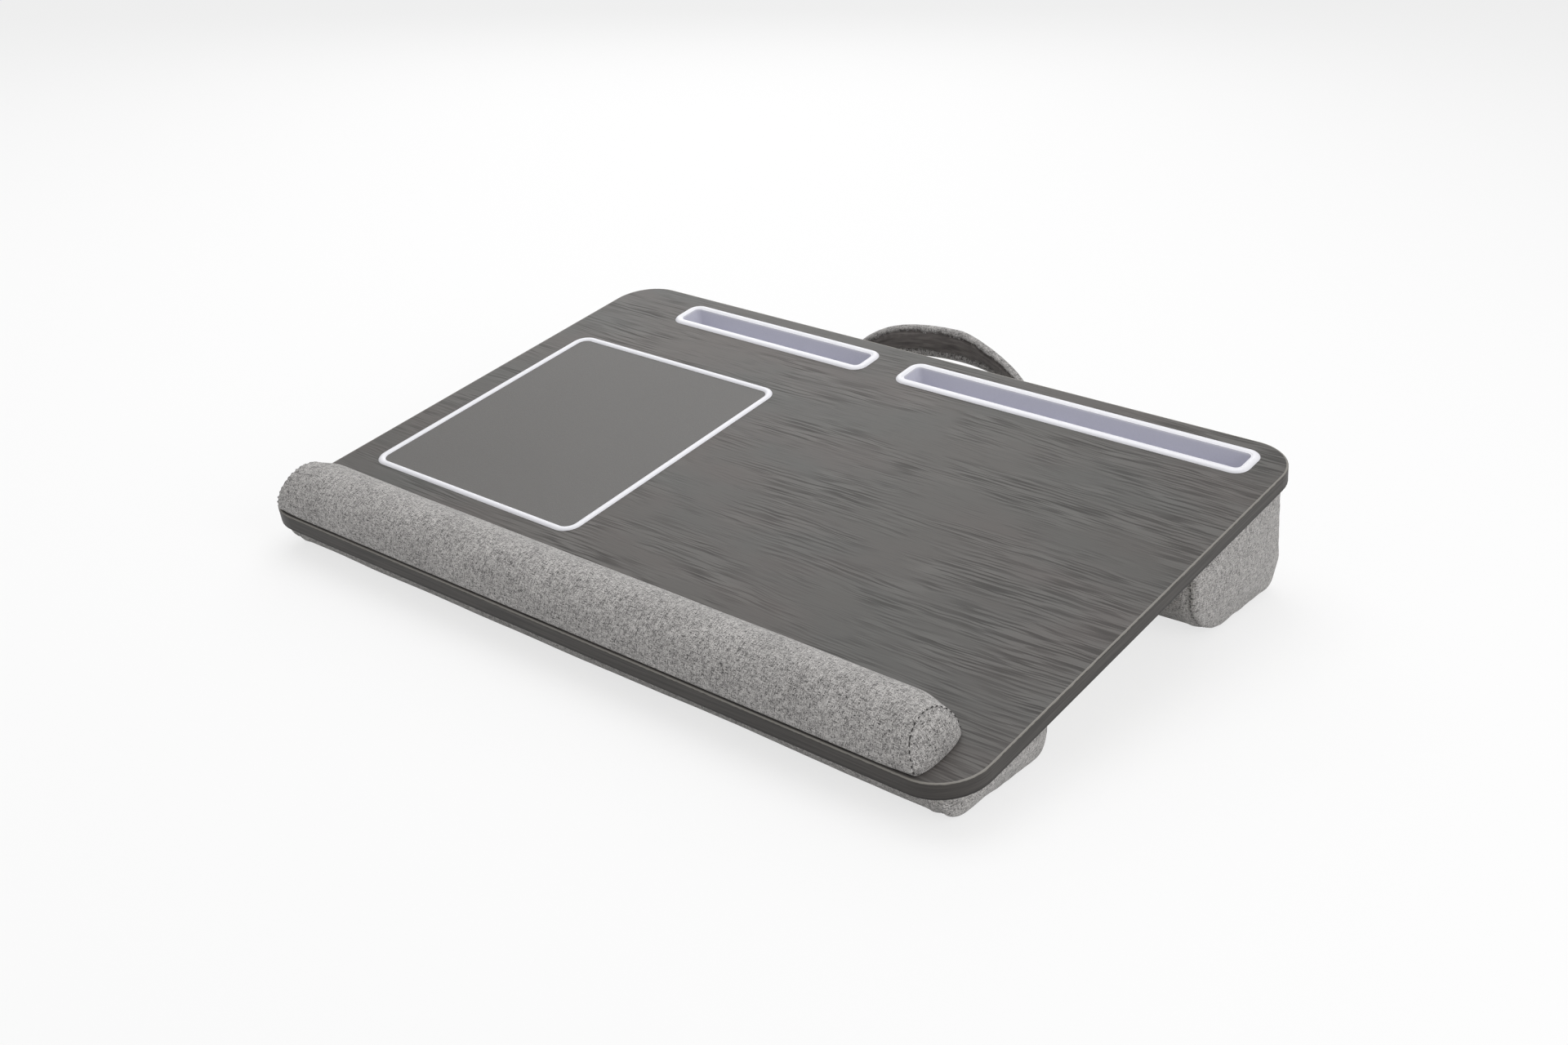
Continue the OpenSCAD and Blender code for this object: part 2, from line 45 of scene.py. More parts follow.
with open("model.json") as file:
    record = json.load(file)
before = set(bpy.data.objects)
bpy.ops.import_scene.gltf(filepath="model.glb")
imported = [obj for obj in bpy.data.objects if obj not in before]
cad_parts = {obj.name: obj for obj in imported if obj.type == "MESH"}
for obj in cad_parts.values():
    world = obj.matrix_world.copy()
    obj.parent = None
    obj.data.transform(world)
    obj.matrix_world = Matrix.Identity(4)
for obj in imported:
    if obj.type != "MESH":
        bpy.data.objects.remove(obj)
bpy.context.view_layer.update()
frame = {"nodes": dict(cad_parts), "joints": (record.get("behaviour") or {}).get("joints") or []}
MM = 0.001


def board_matrix():
    """From the board's own frame to the row frame, by the laminate's slope and the band's edges."""
    faces = frame["nodes"]["top_laminate"].data.polygons
    up = sum((f.normal * f.area for f in faces if f.normal.z > 0.9), Vector())
    turn = Matrix.Rotation(math.atan2(-up.y, up.z), 4, "X")
    band = [turn.inverted() @ v.co for v in frame["nodes"]["edge_band"].data.vertices]
    return turn @ Matrix.Translation((0, min(p.y for p in band), max(p.z for p in band)))


BOARD = board_matrix()
OFF_BOARD = BOARD.inverted()


def board_box(*nodes):
    """Lowest and highest corner of CAD nodes in the board's own frame."""
    points = [OFF_BOARD @ v.co for n in nodes for v in frame["nodes"][n].data.vertices]
    return [Vector([pick(p[i] for p in points) for i in range(3)]) for pick in (min, max)]


def smooth(t):
    """Eases a share from 0 to 1."""
    t = np.clip(t, 0, 1)
    return t * t * (3 - 2 * t)


def on_board(points):
    """Points of the board's own frame, as an array in the row frame."""
    m = np.array(BOARD)
    return np.asarray(points, float) @ m[:3, :3].T + m[:3, 3]


def off_board(points):
    """Points of the row frame, as an array in the board's own frame."""
    m = np.array(OFF_BOARD)
    return np.asarray(points, float) @ m[:3, :3].T + m[:3, 3]


# Values that a user would change


def length(name, description, default, **limits):
    return FloatProperty(name=name, description=description, default=default,
                         unit="LENGTH", subtype="DISTANCE", precision=5, **limits)


def share(name, description, default, **limits):
    return FloatProperty(name=name, description=description, default=default,
                         subtype="FACTOR", min=0, max=1, **limits)


def colour(name, description, default):
    return FloatVectorProperty(name=name, description=description, default=default,
                               subtype="COLOR", size=3, min=0, max=1)


class LapDeskBoard(bpy.types.PropertyGroup):
    """Finish of the board and its edge"""

    ground: colour("Ground", "Main colour of the laminate", (0.089, 0.085, 0.079))
    cool: colour("Cool patch", "Colour of the cooler patches", (0.090, 0.091, 0.088))
    warm: colour("Warm patch", "Colour of the warmer patches", (0.108, 0.091, 0.087))
    vein: colour("Vein", "Colour of the dark veins", (0.036, 0.034, 0.032))
    # A painted highlight: a lighter colour on the raised laminate between the embossed veins.
    ridge: colour("Ridge", "Colour of the light side of an embossed vein", (0.20, 0.195, 0.185))
    edge: colour("Edge", "Colour of the edge band", (0.044, 0.040, 0.037))
    # A painted highlight: the thin light line round the top of the band.
    arris: colour("Arris", "Colour of the thin light line round the top", (0.30, 0.285, 0.26))
    arris_depth: length("Arris depth", "How far the light line reaches down", 0.55 * MM)
    vein_gap: length("Vein gap", "Usual distance between two veins", 3.6 * MM)
    vein_run: length("Vein run", "Usual length of a vein", 42 * MM)
    emboss: length("Emboss", "Depth of the embossed veins", 0.16 * MM)
    gloss: share("Roughness", "Roughness of the laminate", 0.5)


class LapDeskPlastic(bpy.types.PropertyGroup):
    """Finish of the white rim, the trays and the pad"""

    white: colour("White", "Colour of the moulded plastic", (0.82, 0.82, 0.86))
    # A painted shade: a darker, bluer white for a tray's walls below its flange.
    inside: colour("Inside", "Colour of a tray below its flange", (0.66, 0.66, 0.735))
    pad: colour("Pad", "Colour of the mouse pad's face", (0.133, 0.129, 0.124))
    grain: length("Grain", "Size of the pad's leather grain", 0.9 * MM)


class LapDeskFabric(bpy.types.PropertyGroup):
    """The linen-look fabric of the cushions, the wrist rest and the handle"""

    light: colour("Light thread", "Colour of the lightest yarn", (0.60, 0.58, 0.565))
    dark: colour("Dark thread", "Colour of the darkest yarn", (0.055, 0.053, 0.052))
    lining: colour("Lining", "Colour of the cloth under the board", (0.78, 0.75, 0.66))
    pitch: length("Thread pitch", "Distance between two yarns", 0.62 * MM)
    slub: length("Slub", "Usual length of one shade along a yarn", 3.0 * MM)
    relief: length("Relief", "Height of the weave", 0.14 * MM)


class LapDeskCushions(bpy.types.PropertyGroup):
    """Form of the two cushions"""

    step: length("Step", "Edge length of the mesh", 5 * MM)
    front_rf: length("Front cushion's front radius", "Lower front edge", 14 * MM)
    front_rr: length("Front cushion's rear radius", "Lower rear edge", 12 * MM)
    rear_rf: length("Rear cushion's front radius", "Lower front edge", 36 * MM)
    rear_rr: length("Rear cushion's rear radius", "Lower rear edge", 20 * MM)
    top_r: length("Upper radius", "Edge that is sewn to the lining", 3 * MM)
    end_r: length("End radius", "Rounding towards the rear cushion's end panels", 5 * MM)
    front_end_r: length("Front end radius", "The same on the front cushion", 10 * MM)
    belly: length("End belly", "How far an end panel bulges", 4.5 * MM)
    spread: length("Spread", "How far the filled ends stand past the drawn form", 0.4 * MM)
    forward: length("Forward", "The same for the front cushion's front side", 3.6 * MM)
    waist: length("Waist", "How far the long sides pull in between the ends", 1.2 * MM)
    tuck: length("Tuck", "How much smaller a cover is cut than its filled form", 1.6 * MM)
    swell: length("Swell", "Furthest that the filling moves a point of the cover", 3 * MM)
    pressure: FloatProperty(name="Pressure", description="Pressure of the filling", default=3.0)
    seam: length("Seam", "Depth of the sewn seams", 1.1 * MM)
    pucker: length("Pucker", "Height of the puckers along a seam", 0.7 * MM)
    pocket: length("Pocket gap", "Room round what is sunk into a cushion", 0.8 * MM)


class LapDeskWristRest(bpy.types.PropertyGroup):
    """Form of the padded wrist rest"""

    step: length("Step", "Edge length of the mesh", 4 * MM)
    lean: length("Lean", "How far the end seams lean in at the top", 7 * MM)
    belly: length("End belly", "How far an end panel bulges", 3.2 * MM)
    corner: length("Corner", "How far the rear foot draws in at the ends", 6.5 * MM)
    corner_run: length("Corner run", "How long it takes to draw in", 26 * MM)
    swell: length("Swell", "Furthest that the foam moves a point of the cover", 1.6 * MM)
    stitch: length("Stitch", "Length of one stitch", 2.4 * MM)
    stitch_gap: length("Stitch gap", "Distance between two stitches", 1.4 * MM)
    thread: length("Thread", "Thickness of the sewing thread", 0.8 * MM)


class LapDeskHandle(bpy.types.PropertyGroup):
    """Form of the soft carry handle"""

    # The handle's cloth is the cushions' linen darkened by this factor: a painted shade.
    shade: share("Shade", "How light the handle's yarns are, against the cushions'", 0.92)
    inner: colour("Inner face", "Colour of the plain strip between its seams",
                  (0.145, 0.132, 0.126))
    half: length("Half length", "From the middle of the arc to a foot", 75 * MM)
    reach: length("Reach", "How far its middle line stands off behind the fold", 29 * MM)
    rise: length("Rise", "Height of its upper edge over the fold", 18 * MM)
    rings: IntProperty(name="Rings", description="Cross sections along the handle",
                       default=170, min=20)
    upper_seam: length("Upper seam", "Its distance below the handle's upper edge", 3.8 * MM)
    lower_seam: length("Lower seam", "Its distance above the handle's lower edge", 5.2 * MM)
    seam: length("Seam depth", "How far the seams draw the cloth in", 1.9 * MM)
    pucker: length("Pucker", "Height of the puckers along the seams", 1.1 * MM)


class LapDeskStage(bpy.types.PropertyGroup):
    """Camera, lamps and floor"""

    camera_place: FloatVectorProperty(name="Camera", description="Place of the camera",
                                      default=(0.68859, -0.82731, 0.51576), subtype="XYZ",
                                      unit="LENGTH")
    azimuth: FloatProperty(name="Azimuth", description="Camera's turn about the vertical",
                           default=math.radians(39.318), subtype="ANGLE")
    elevation: FloatProperty(name="Elevation", description="Camera's angle above the horizon",
                             default=math.radians(24.400), subtype="ANGLE")
    lens: FloatProperty(name="Lens", description="Focal length on a 36 mm sensor",
                        default=42.316, unit="CAMERA")
    shift: FloatVectorProperty(name="Shift", description="Small shift of the frame", size=2,
                               default=(-0.006615, -0.00199))
    floor: colour("Floor", "Colour of the pale floor", (0.86, 0.86, 0.86))


class LapDesk(bpy.types.PropertyGroup):
    """All values of the lap desk"""

    board: PointerProperty(type=LapDeskBoard)
    plastic: PointerProperty(type=LapDeskPlastic)
    fabric: PointerProperty(type=LapDeskFabric)
    cushions: PointerProperty(type=LapDeskCushions)
    wrist_rest: PointerProperty(type=LapDeskWristRest)
    handle: PointerProperty(type=LapDeskHandle)
    stage: PointerProperty(type=LapDeskStage)


# Materials


def shaded(tone, amount):
    """A colour, darker or lighter by a factor."""
    return [c * amount for c in tone]


def add_node(tree, kind, inputs, **settings):
    """Adds a shader node. An input takes a number, a colour, a socket or a wire."""
    made = tree.nodes.new("ShaderNode" + kind)
    for key, value in settings.items():
        setattr(made, key, value)
    for key, value in inputs.items():
        value = getattr(value, "socket", value)
        if isinstance(value, bpy.types.NodeSocket):
            tree.links.new(value, made.inputs[key])
        else:
            made.inputs[key].default_value = value
    return made


class Wire:
    """A number inside a material. Sums and products with it become Math nodes."""

    def __init__(self, finish, socket):
        self.finish = finish
        self.socket = socket

    def __add__(self, other):
        return self.finish.math("ADD", self, other)

    def __sub__(self, other):
        return self.finish.math("SUBTRACT", self, other)

    def __rsub__(self, other):
        return self.finish.math("SUBTRACT", other, self)

    def __mul__(self, other):
        return self.finish.math("MULTIPLY", self, other)

    def __truediv__(self, other):
        return self.finish.math("DIVIDE", self, other)


class Finish:
    """A node material round a Principled shader, whose constants are set by name."""

    def __init__(self, name, **constants):
        self.material = bpy.data.materials.new(name)
        self.material.use_nodes = True
        self.tree = self.material.node_tree
        self.shader = self.tree.nodes["Principled BSDF"]
        for socket, value in constants.items():
            self.shader.inputs[socket.replace("_", " ")].default_value = value

    def node(self, kind, inputs, **settings):
        return add_node(self.tree, kind, inputs, **settings)

    def math(self, operation, a, b=0.0):
        return Wire(self, self.node("Math", {0: a, 1: b}, operation=operation).outputs[0])

    def spread(self, value, low, high, to_low=0.0, to_high=1.0):
        """Takes low..high to to_low..to_high, and holds it there."""
        made = self.node("MapRange", {0: value, 1: low, 2: high, 3: to_low, 4: to_high})
        return Wire(self, made.outputs[0])

    def between(self, amount, a, b):
        """Colour a where amount is 0, and colour b where it is 1."""
        ends = {key: value if isinstance(value, bpy.types.NodeSocket) else (*value, 1)
                for key, value in ((6, a), (7, b))}
        return self.node("Mix", {0: amount, **ends}, data_type="RGBA").outputs[2]

    def times(self, tone, amount):
        """The colour of a socket, darker or lighter by a factor."""
        grey = self.node("CombineColor", {i: amount for i in range(3)}).outputs[0]
        return self.node("Mix", {0: 1.0, 6: tone, 7: grey}, data_type="RGBA",
                         blend_type="MULTIPLY").outputs[2]

    def vector(self, x, y, z=0.0):
        return self.node("CombineXYZ", {0: x, 1: y, 2: z}).outputs[0]

    def parts(self, vector):
        return [Wire(self, s) for s in self.node("SeparateXYZ", {0: vector}).outputs[:3]]

    def noise(self, x, y, z=0.0, detail=2.0, roughness=0.5):
        made = self.node("TexNoise", {"Vector": self.vector(x, y, z), "Scale": 1.0,
                                      "Detail": detail, "Roughness": roughness})
        return Wire(self, made.outputs["Fac"])

    def own_place(self):
        """Where the piece's mesh has a point."""
        return self.node("TexCoord", {}).outputs["Object"]

    def board_place(self):
        """X, Y and Z in the board's own frame, for a rigid piece."""
        turned = self.node("Mapping", {"Vector": self.own_place(),
                                       "Location": OFF_BOARD.translation,
                                       "Rotation": OFF_BOARD.to_euler()})
        return self.parts(turned.outputs[0])

    def weave_place(self):
        """The place along and across the weave, in metres."""
        return self.parts(self.node("UVMap", {}, uv_map="weave").outputs[0])[:2]

    def done(self, tone, height, distance, roughness=None):
        """Links the colour, the bump and the roughness, and returns the material."""
        bump = self.node("Bump", {"Height": height, "Distance": distance, "Strength": 1.0})
        ends = {"Base Color": tone, "Normal": bump.outputs[0]}
        if roughness is not None:
            ends["Roughness"] = roughness.socket
        for key, socket in ends.items():
            self.tree.links.new(socket, self.shader.inputs[key])
        return self.material


def veins(f, x, y, gap, run, seed):
    """Fine wavy lines that run along X, from 0 to 1."""
    sway = f.noise(x * 5.0, y * 8.0, seed, 1.0) - 0.5
    ripple = f.noise(x * 38.0, y * 60.0, seed, 1.0) - 0.5
    bent = y + sway * (17 * MM) + ripple * (2.4 * MM)
    return f.noise(x / run, bent / gap, seed, 1.0)


def laminate(props):
    """Grey-brown laminate with embossed wood grain along X, in groups of short fine lines."""
    f = Finish("desk_laminate", Specular_IOR_Level=0.3)
    x, y, _ = f.board_place()
    gap, run = props.vein_gap, props.vein_run
    coarse = f.spread(veins(f, x, y, gap / 2.2, run, 3.0), 0.47, 0.62)
    fine = f.spread(veins(f, x, y, gap / 4.2, run / 2, 5.0), 0.48, 0.62)
    wide = f.noise(x * 11.0, y * 34.0, 7.0)
    small = f.noise(x * 30.0, y * 80.0, 2.0, 1.0)
    more_at_the_right = f.spread(x, 0.12, 0.27, 0.0, 0.10)
    groups = f.spread(wide * 0.7 + small * 0.3 + more_at_the_right, 0.44, 0.62)
    depth = coarse * groups
    soft = fine * f.spread(small, 0.35, 0.6, 0.25, 1.0)
    hue = f.noise(x * 9.0, y * 20.0, 1.0)
    tone = f.between(f.spread(hue, 0.36, 0.64), props.cool, props.warm)
    clouds = f.noise(x * 4.0, y * 10.0, 9.0, 3.0)
    tone = f.between(f.spread(clouds, 0.3, 0.7, 0.25, 0.85), tone, props.ground)
    tone = f.times(tone, f.spread(y * 0.5 - x, -0.25, 0.35, 0.86, 1.12))
    tone = f.between(soft * 0.30, tone, props.vein)
    tone = f.between(depth * 0.55, tone, props.vein)
    # Painted highlight: within the groups, the raised parts between the veins are lightened towards
    # this colour.
    light = f.spread(coarse, 0.2, 0.0) * groups
    tone = f.between(light * 0.22, tone, props.ridge)
    rough = f.spread(depth, 0.0, 1.0, props.gloss, props.gloss + 0.14)
    return f.done(tone, 1.0 - (depth * 0.8 + soft * 0.2), props.emboss, rough)


def edge_band(props):
    """Dark band with its own lengthwise grain, a painted highlight along the arris and a painted
    shadow along its lower edge.
    """
    f = Finish("desk_edge_band", Specular_IOR_Level=0.3, Roughness=0.5)
    x, y, z = f.board_place()
    streaks = f.noise((x + y) * 16.0, z * 620.0, 2.0, 3.0, 0.6)
    tone = f.between(f.spread(streaks, 0.36, 0.66), shaded(props.edge, 0.72),
                     shaded(props.edge, 1.45))
    # Painted highlight along the top arris; noise makes how far it reaches down ragged.
    ragged = f.noise(x * 260.0, y * 260.0) - 0.5
    line = f.spread(z + ragged * (0.5 * MM), -props.arris_depth, 0.2 * MM - props.arris_depth)
    tone = f.between(line * 0.75, tone, props.arris)
    # Painted shadow: the band darkens to near black along its lower edge.
    foot = f.spread(z, -8.2 * MM, -9.3 * MM)
    tone = f.between(foot * 0.7, tone, (0.015, 0.014, 0.013))
    return f.done(tone, streaks, 0.1 * MM)


def moulded(name, white, inside):
    """White moulded plastic, with a painted bluish shade below the board's top."""
    f = Finish(name, Specular_IOR_Level=0.45, Roughness=0.34)
    x, y, z = f.board_place()
    fine = f.noise(x * 900.0, y * 900.0, z * 900.0)
    # Painted shade: below the board's top the white turns to the darker, bluer inside colour.
    tone = f.between(f.spread(z, 0.3 * MM, -1.2 * MM), white, inside)
    tone = f.times(tone, f.spread(fine, 0.3, 0.7, 0.97, 1.0))
    return f.done(tone, fine, 0.02 * MM)


def pad_face(props):
    """Smooth grey leathercloth with a very fine grain."""
    f = Finish("desk_pad_face", Specular_IOR_Level=0.35, Roughness=0.55)
    x, y, _ = f.board_place()
    cells = f.node("TexVoronoi", {"Vector": f.vector(x / props.grain, y / props.grain),
                                  "Scale": 1.0}, feature="DISTANCE_TO_EDGE")
    creases = f.spread(cells.outputs["Distance"], 0.0, 0.35)
    clouds = f.noise(x * 14.0, y * 14.0, 0.0, 3.0)
    tone = f.between(f.spread(clouds, 0.3, 0.7, 0.0, 0.2), props.pad, shaded(props.pad, 0.86))
    # Painted shade in the grain's creases: darker by up to a tenth.
    tone = f.times(tone, f.spread(creases, 0.0, 1.0, 0.9, 1.0))
    return f.done(tone, creases, 0.05 * MM)


def plain(name, tone, roughness, **constants):
    """A finish for what the covers hide: one colour with a slight mottle."""
    f = Finish(name, Roughness=roughness, **constants)
    x, y, z = f.board_place()
    specks = f.noise(x * 420.0, y * 420.0, z * 420.0, 3.0, 0.7)
    mottled = f.between(f.spread(specks, 0.35, 0.65), tone, shaded(tone, 0.8))
    return f.done(mottled, specks, 0.2 * MM)


def woven(name, props, light, dark, pitch, slub, sheen=0.25):
    """Plain weave of slubby yarns that vary from light to dark along their length."""
    f = Finish(name, Roughness=0.85, Specular_IOR_Level=0.2, Sheen_Weight=sheen,
               Sheen_Roughness=0.5)
    u, v = f.weave_place()
    drift = (f.noise(u * 90.0, v * 90.0, 0.0, 1.0) - 0.5) * 1.6
    u = u / pitch + drift
    v = v / pitch - drift
    heights = []
    shades = []
    for along, across, seed in ((u, v, 0.0), (v, u, 1.0)):
        yarn = f.math("FLOOR", across)
        over = f.math("SINE", along * math.pi + (yarn + seed) * math.pi)
        roundness = f.math("ABSOLUTE", f.math("SINE", across * math.pi))
        heights.append(roundness * (over * 0.5 + 0.5))
        shades.append(f.noise(along * (pitch / slub), yarn * 7.31, seed * 9.0, 2.0, 0.7))
    top = f.spread(heights[0] - heights[1], -0.1, 0.1)
    shade = f.node("Mix", {0: top, 2: shades[1], 3: shades[0]}, data_type="FLOAT").outputs[0]
    height = f.math("MAXIMUM", *heights)
    tone = f.between(f.spread(shade, 0.33, 0.62), dark, light)
    # Painted shade in the gaps between yarns, and a slight painted highlight on their tops.
    tone = f.times(tone, f.spread(height, 0.1, 0.8, 0.72, 1.06))
    cloud = f.noise(u * 0.02, v * 0.03, 4.0, 3.0)
    tone = f.times(tone, f.spread(cloud, 0.3, 0.7, 0.92, 1.08))
    return f.done(tone, height, props.relief)


def linen(props):
    """The fabric that the cushions and the wrist rest share."""
    return bpy.data.materials.get("desk_linen") or woven(
        "desk_linen", props, props.light, props.dark, props.pitch, props.slub)


def sewing_thread():
    """Dark twisted thread."""
    f = Finish("desk_thread", Roughness=0.7, Specular_IOR_Level=0.3)
    x, y, z = f.parts(f.own_place())
    twist = f.noise(x * 2500.0, y * 2500.0, z * 2500.0, 1.0)
    tone = f.between(f.spread(twist, 0.35, 0.65), (0.018, 0.017, 0.017), (0.055, 0.053, 0.052))
    return f.done(tone, twist, 0.05 * MM)


def dress(node, material):
    """Gives a rigid piece of the frame its finish, and soft shading across its curves."""
    piece = frame["nodes"][node]
    piece.data.materials.clear()
    piece.data.materials.append(material)
    piece.data.shade_smooth()
    piece.data.set_sharp_from_angle(angle=math.radians(35))


# Meshes of the fabric pieces


def add_object(name, data):
    made = bpy.data.objects.new(name, data)
    bpy.context.scene.collection.objects.link(made)
    return made


def new_piece(name, points, faces, places):
    """A mesh from points of the board's frame. places are the weave map's, one for each corner."""
    mesh = bpy.data.meshes.new(name)
    mesh.from_pydata(on_board(points).tolist(), [], faces)
    layer = mesh.uv_layers.new(name="weave")
    layer.uv.foreach_set("vector", np.array(places, np.float32).ravel())
    mesh.shade_smooth()
    return add_object(name, mesh)


def cover_mesh(name, rings, panels, section, run):
    """A closed skin over rings of points in the board's frame.

    rings is an array of rings by points by 3. panels gives how many bands of faces at each
    end are a sewn panel. section is each point's place round the wrap, and run each ring's
    place along it. The weave map is in metres: run by section on the wrap, Y by Z on the panels."""
    count, around, _ = rings.shape
    middles = np.stack([rings[0].mean(0), rings[-1].mean(0)])
    points = np.concatenate([rings.reshape(-1, 3), middles])
    turn = np.append(section, section[-1] + np.linalg.norm(rings[0, 0] - rings[0, -1]))
    faces = []
    places = []
    for i in range(count - 1):
        on_panel = i < panels or i >= count - 1 - panels
        for j in range(around):
            k = (j + 1) % around
            corners = [(i, j, j), (i, k, j + 1), (i + 1, k, j + 1), (i + 1, j, j)]
            faces.append([a * around + b for a, b, _ in corners])
            for a, b, s in corners:
                p = rings[a, b]
                places.append((p[1], p[2]) if on_panel else (run[a], turn[s]))
    for end, middle in ((0, count * around), (count - 1, count * around + 1)):
        for j in range(around):
            k = (j + 1) % around
            fan = [end * around + j, end * around + k, middle]
            faces.append(fan if end else fan[::-1])
            places.extend((points[q][1], points[q][2]) for q in faces[-1])
    return new_piece(name, points, faces, places)


def outlines_of(node, level):
    """The closed outlines of a flat CAD piece's face at one height, as rings of (x, y)."""
    mesh = frame["nodes"][node].data
    flat = off_board(corners_of(mesh))
    keys = {}
    grains = np.round(flat[:, :2] / (0.01 * MM)).astype(int)
    spots = [keys.setdefault(tuple(grain), len(keys)) for grain in grains]
    where = dict(zip(spots, flat[:, :2]))
    pairs = set()
    for face in mesh.polygons:
        if all(abs(flat[i][2] - level) < 0.05 * MM for i in face.vertices):
            ids = [spots[i] for i in face.vertices]
            for a, b in zip(ids, ids[1:] + ids[:1]):
                if (b, a) in pairs:
                    pairs.remove((b, a))
                else:
                    pairs.add((a, b))
    after = dict(sorted(pairs))
    loops = []
    while after:
        start = next(iter(after))
        loop = [start]
        while after[loop[-1]] != start:
            loop.append(after.pop(loop[-1]))
        after.pop(loop[-1])
        loops.append(np.array([where[i] for i in loop]))
    return loops


def inside(points, loops):
    """Which points lie within the outlines and not in their holes."""
    odd = np.zeros(len(points), bool)
    x, y = points.T
    for loop in loops:
        for (x0, y0), (x1, y1) in zip(loop, np.roll(loop, -1, axis=0)):
            if y0 != y1:
                crossing = x0 + (y - y0) * (x1 - x0) / (y1 - y0)
                odd ^= ((y0 > y) != (y1 > y)) & (x < crossing)
    return odd


def sheet_mesh(name, loops, z0, z1, pitch, lift):
    """A flat piece with those outlines, between two heights, and its flat area.

    lift gives how far the lower skin moves at each point, from the distance to an outline."""
    rims = []
    for loop in loops:
        ring = []
        for a, b in zip(loop, np.roll(loop, -1, axis=0)):
            parts = max(1, int(math.ceil(np.linalg.norm(b - a) / pitch)))
            ring.extend(a + (b - a) * i / parts for i in range(parts))
        rims.append(np.array(ring))
    edge = np.concatenate(rims)

    def from_edge(points):
        return np.array([np.min(np.linalg.norm(edge - p, axis=1)) for p in points])

    low, high = edge.min(0), edge.max(0)
    lines = [np.arange(low[i] + pitch / 2, high[i], pitch) for i in (0, 1)]
    grid = np.stack(np.meshgrid(*lines), -1).reshape(-1, 2)
    grid = grid[inside(grid, rims)]
    grid = grid[from_edge(grid) > 0.55 * pitch]
    flat = np.concatenate([edge, grid])
    joined = []
    start = 0
    for ring in rims:
        ids = list(range(start, start + len(ring)))
        joined.extend(zip(ids, ids[1:] + ids[:1]))
        start += len(ring)
    found = delaunay_2d_cdt([Vector(p) for p in flat], joined, [], 0, 1e-7)
    flat = np.array([(p.x, p.y) for p in found[0]])
    faces = np.array([list(face) for face in found[2]])
    faces = faces[inside(flat[faces].mean(1), rims)]
    a, b, c = (flat[faces[:, i]] for i in range(3))
    twice = (b - a)[:, 0] * (c - a)[:, 1] - (b - a)[:, 1] * (c - a)[:, 0]
    faces[twice < 0] = faces[twice < 0][:, ::-1]
    under = np.column_stack([flat, z0 + lift(flat, from_edge(flat))])
    over = np.column_stack([flat, np.full(len(flat), z1)])
    n = len(flat)
    pairs = {(f[i], f[(i + 1) % 3]) for f in faces.tolist() for i in range(3)}
    walls = [[b, n + b, n + a, a] for a, b in sorted(pairs) if (b, a) not in pairs]
    made = (faces + n).tolist() + faces[:, ::-1].tolist() + walls
    points = np.concatenate([under, over])
    places = [points[i][:2] for face in made for i in face]
    return new_piece(name, points, made, places), float(np.abs(twice).sum() / 2)


def corners_of(mesh):
    """A mesh's vertices as an array."""
    co = np.empty(len(mesh.vertices) * 3)
    mesh.vertices.foreach_get("co", co)
    return co.reshape(-1, 3)


def board_points(piece):
    """A piece's vertices as an array in the board's own frame."""
    return off_board(corners_of(piece.data))


def move_corners(mesh, points):
    mesh.vertices.foreach_set("co", np.asarray(points, float).ravel())
    mesh.update()


def normals_of(mesh):
    found = np.empty(len(mesh.vertices) * 3, np.float32)
    mesh.vertex_normals.foreach_get("vector", found)
    return found.reshape(-1, 3).astype(float)


def push(piece, lift):
    """Moves each vertex outwards by its own lift."""
    points = corners_of(piece.data) + normals_of(piece.data) * lift[:, None]
    move_corners(piece.data, points)


def bell(distance, width):
    """1 at no distance, and smoothly down to 0 beyond that width."""
    return np.exp(-((distance / width) ** 2))


def run_along(path):
    """How far along a path each of its points lies."""
    return np.append(0, np.cumsum(np.linalg.norm(np.diff(path, axis=0), axis=1)))


def fill(piece, held, pressure, swell, frames=20):
    """Swells a closed cover as cloth under pressure.

    Held points stay, and the others move outwards by up to swell."""
    before = corners_of(piece.data)
    out = normals_of(piece.data)
    group = piece.vertex_groups.new(name="held")
    group.add([int(i) for i in np.flatnonzero(held)], 1.0, "REPLACE")
    cloth = piece.modifiers.new("Filling", "CLOTH")
    s = cloth.settings
    s.quality = 6
    s.mass = 0.3
    s.tension_stiffness = s.compression_stiffness = 12
    s.shear_stiffness = 4
    s.bending_stiffness = 0.4
    s.use_pressure = True
    s.uniform_pressure_force = pressure
    s.vertex_group_mass = group.name
    s.effector_weights.gravity = 0
    cloth.collision_settings.use_collision = False
    cloth.point_cache.frame_start = 1
    cloth.point_cache.frame_end = frames
    for f in range(1, frames + 1):
        bpy.context.scene.frame_set(f)
    filled = piece.evaluated_get(bpy.context.evaluated_depsgraph_get())
    after = corners_of(filled.data)
    piece.modifiers.remove(cloth)
    piece.vertex_groups.remove(group)
    bpy.context.scene.frame_set(1)
    move = np.sum((after - before) * out, axis=1, keepdims=True)
    move_corners(piece.data, before + out * np.clip(move, 0, swell))


def keep(piece, modifier):
    """Works a modifier into the piece's mesh."""
    dg = bpy.context.evaluated_depsgraph_get()
    made = bpy.data.meshes.new_from_object(piece.evaluated_get(dg), depsgraph=dg)
    piece.modifiers.remove(modifier)
    old = piece.data
    piece.data = made
    made.name = old.name
    bpy.data.meshes.remove(old)


def subdivide(piece):
    """One level of subdivision, kept in the mesh."""
    level = piece.modifiers.new("Smooth", "SUBSURF")
    level.levels = level.render_levels = 1
    level.boundary_smooth = "PRESERVE_CORNERS"
    keep(piece, level)


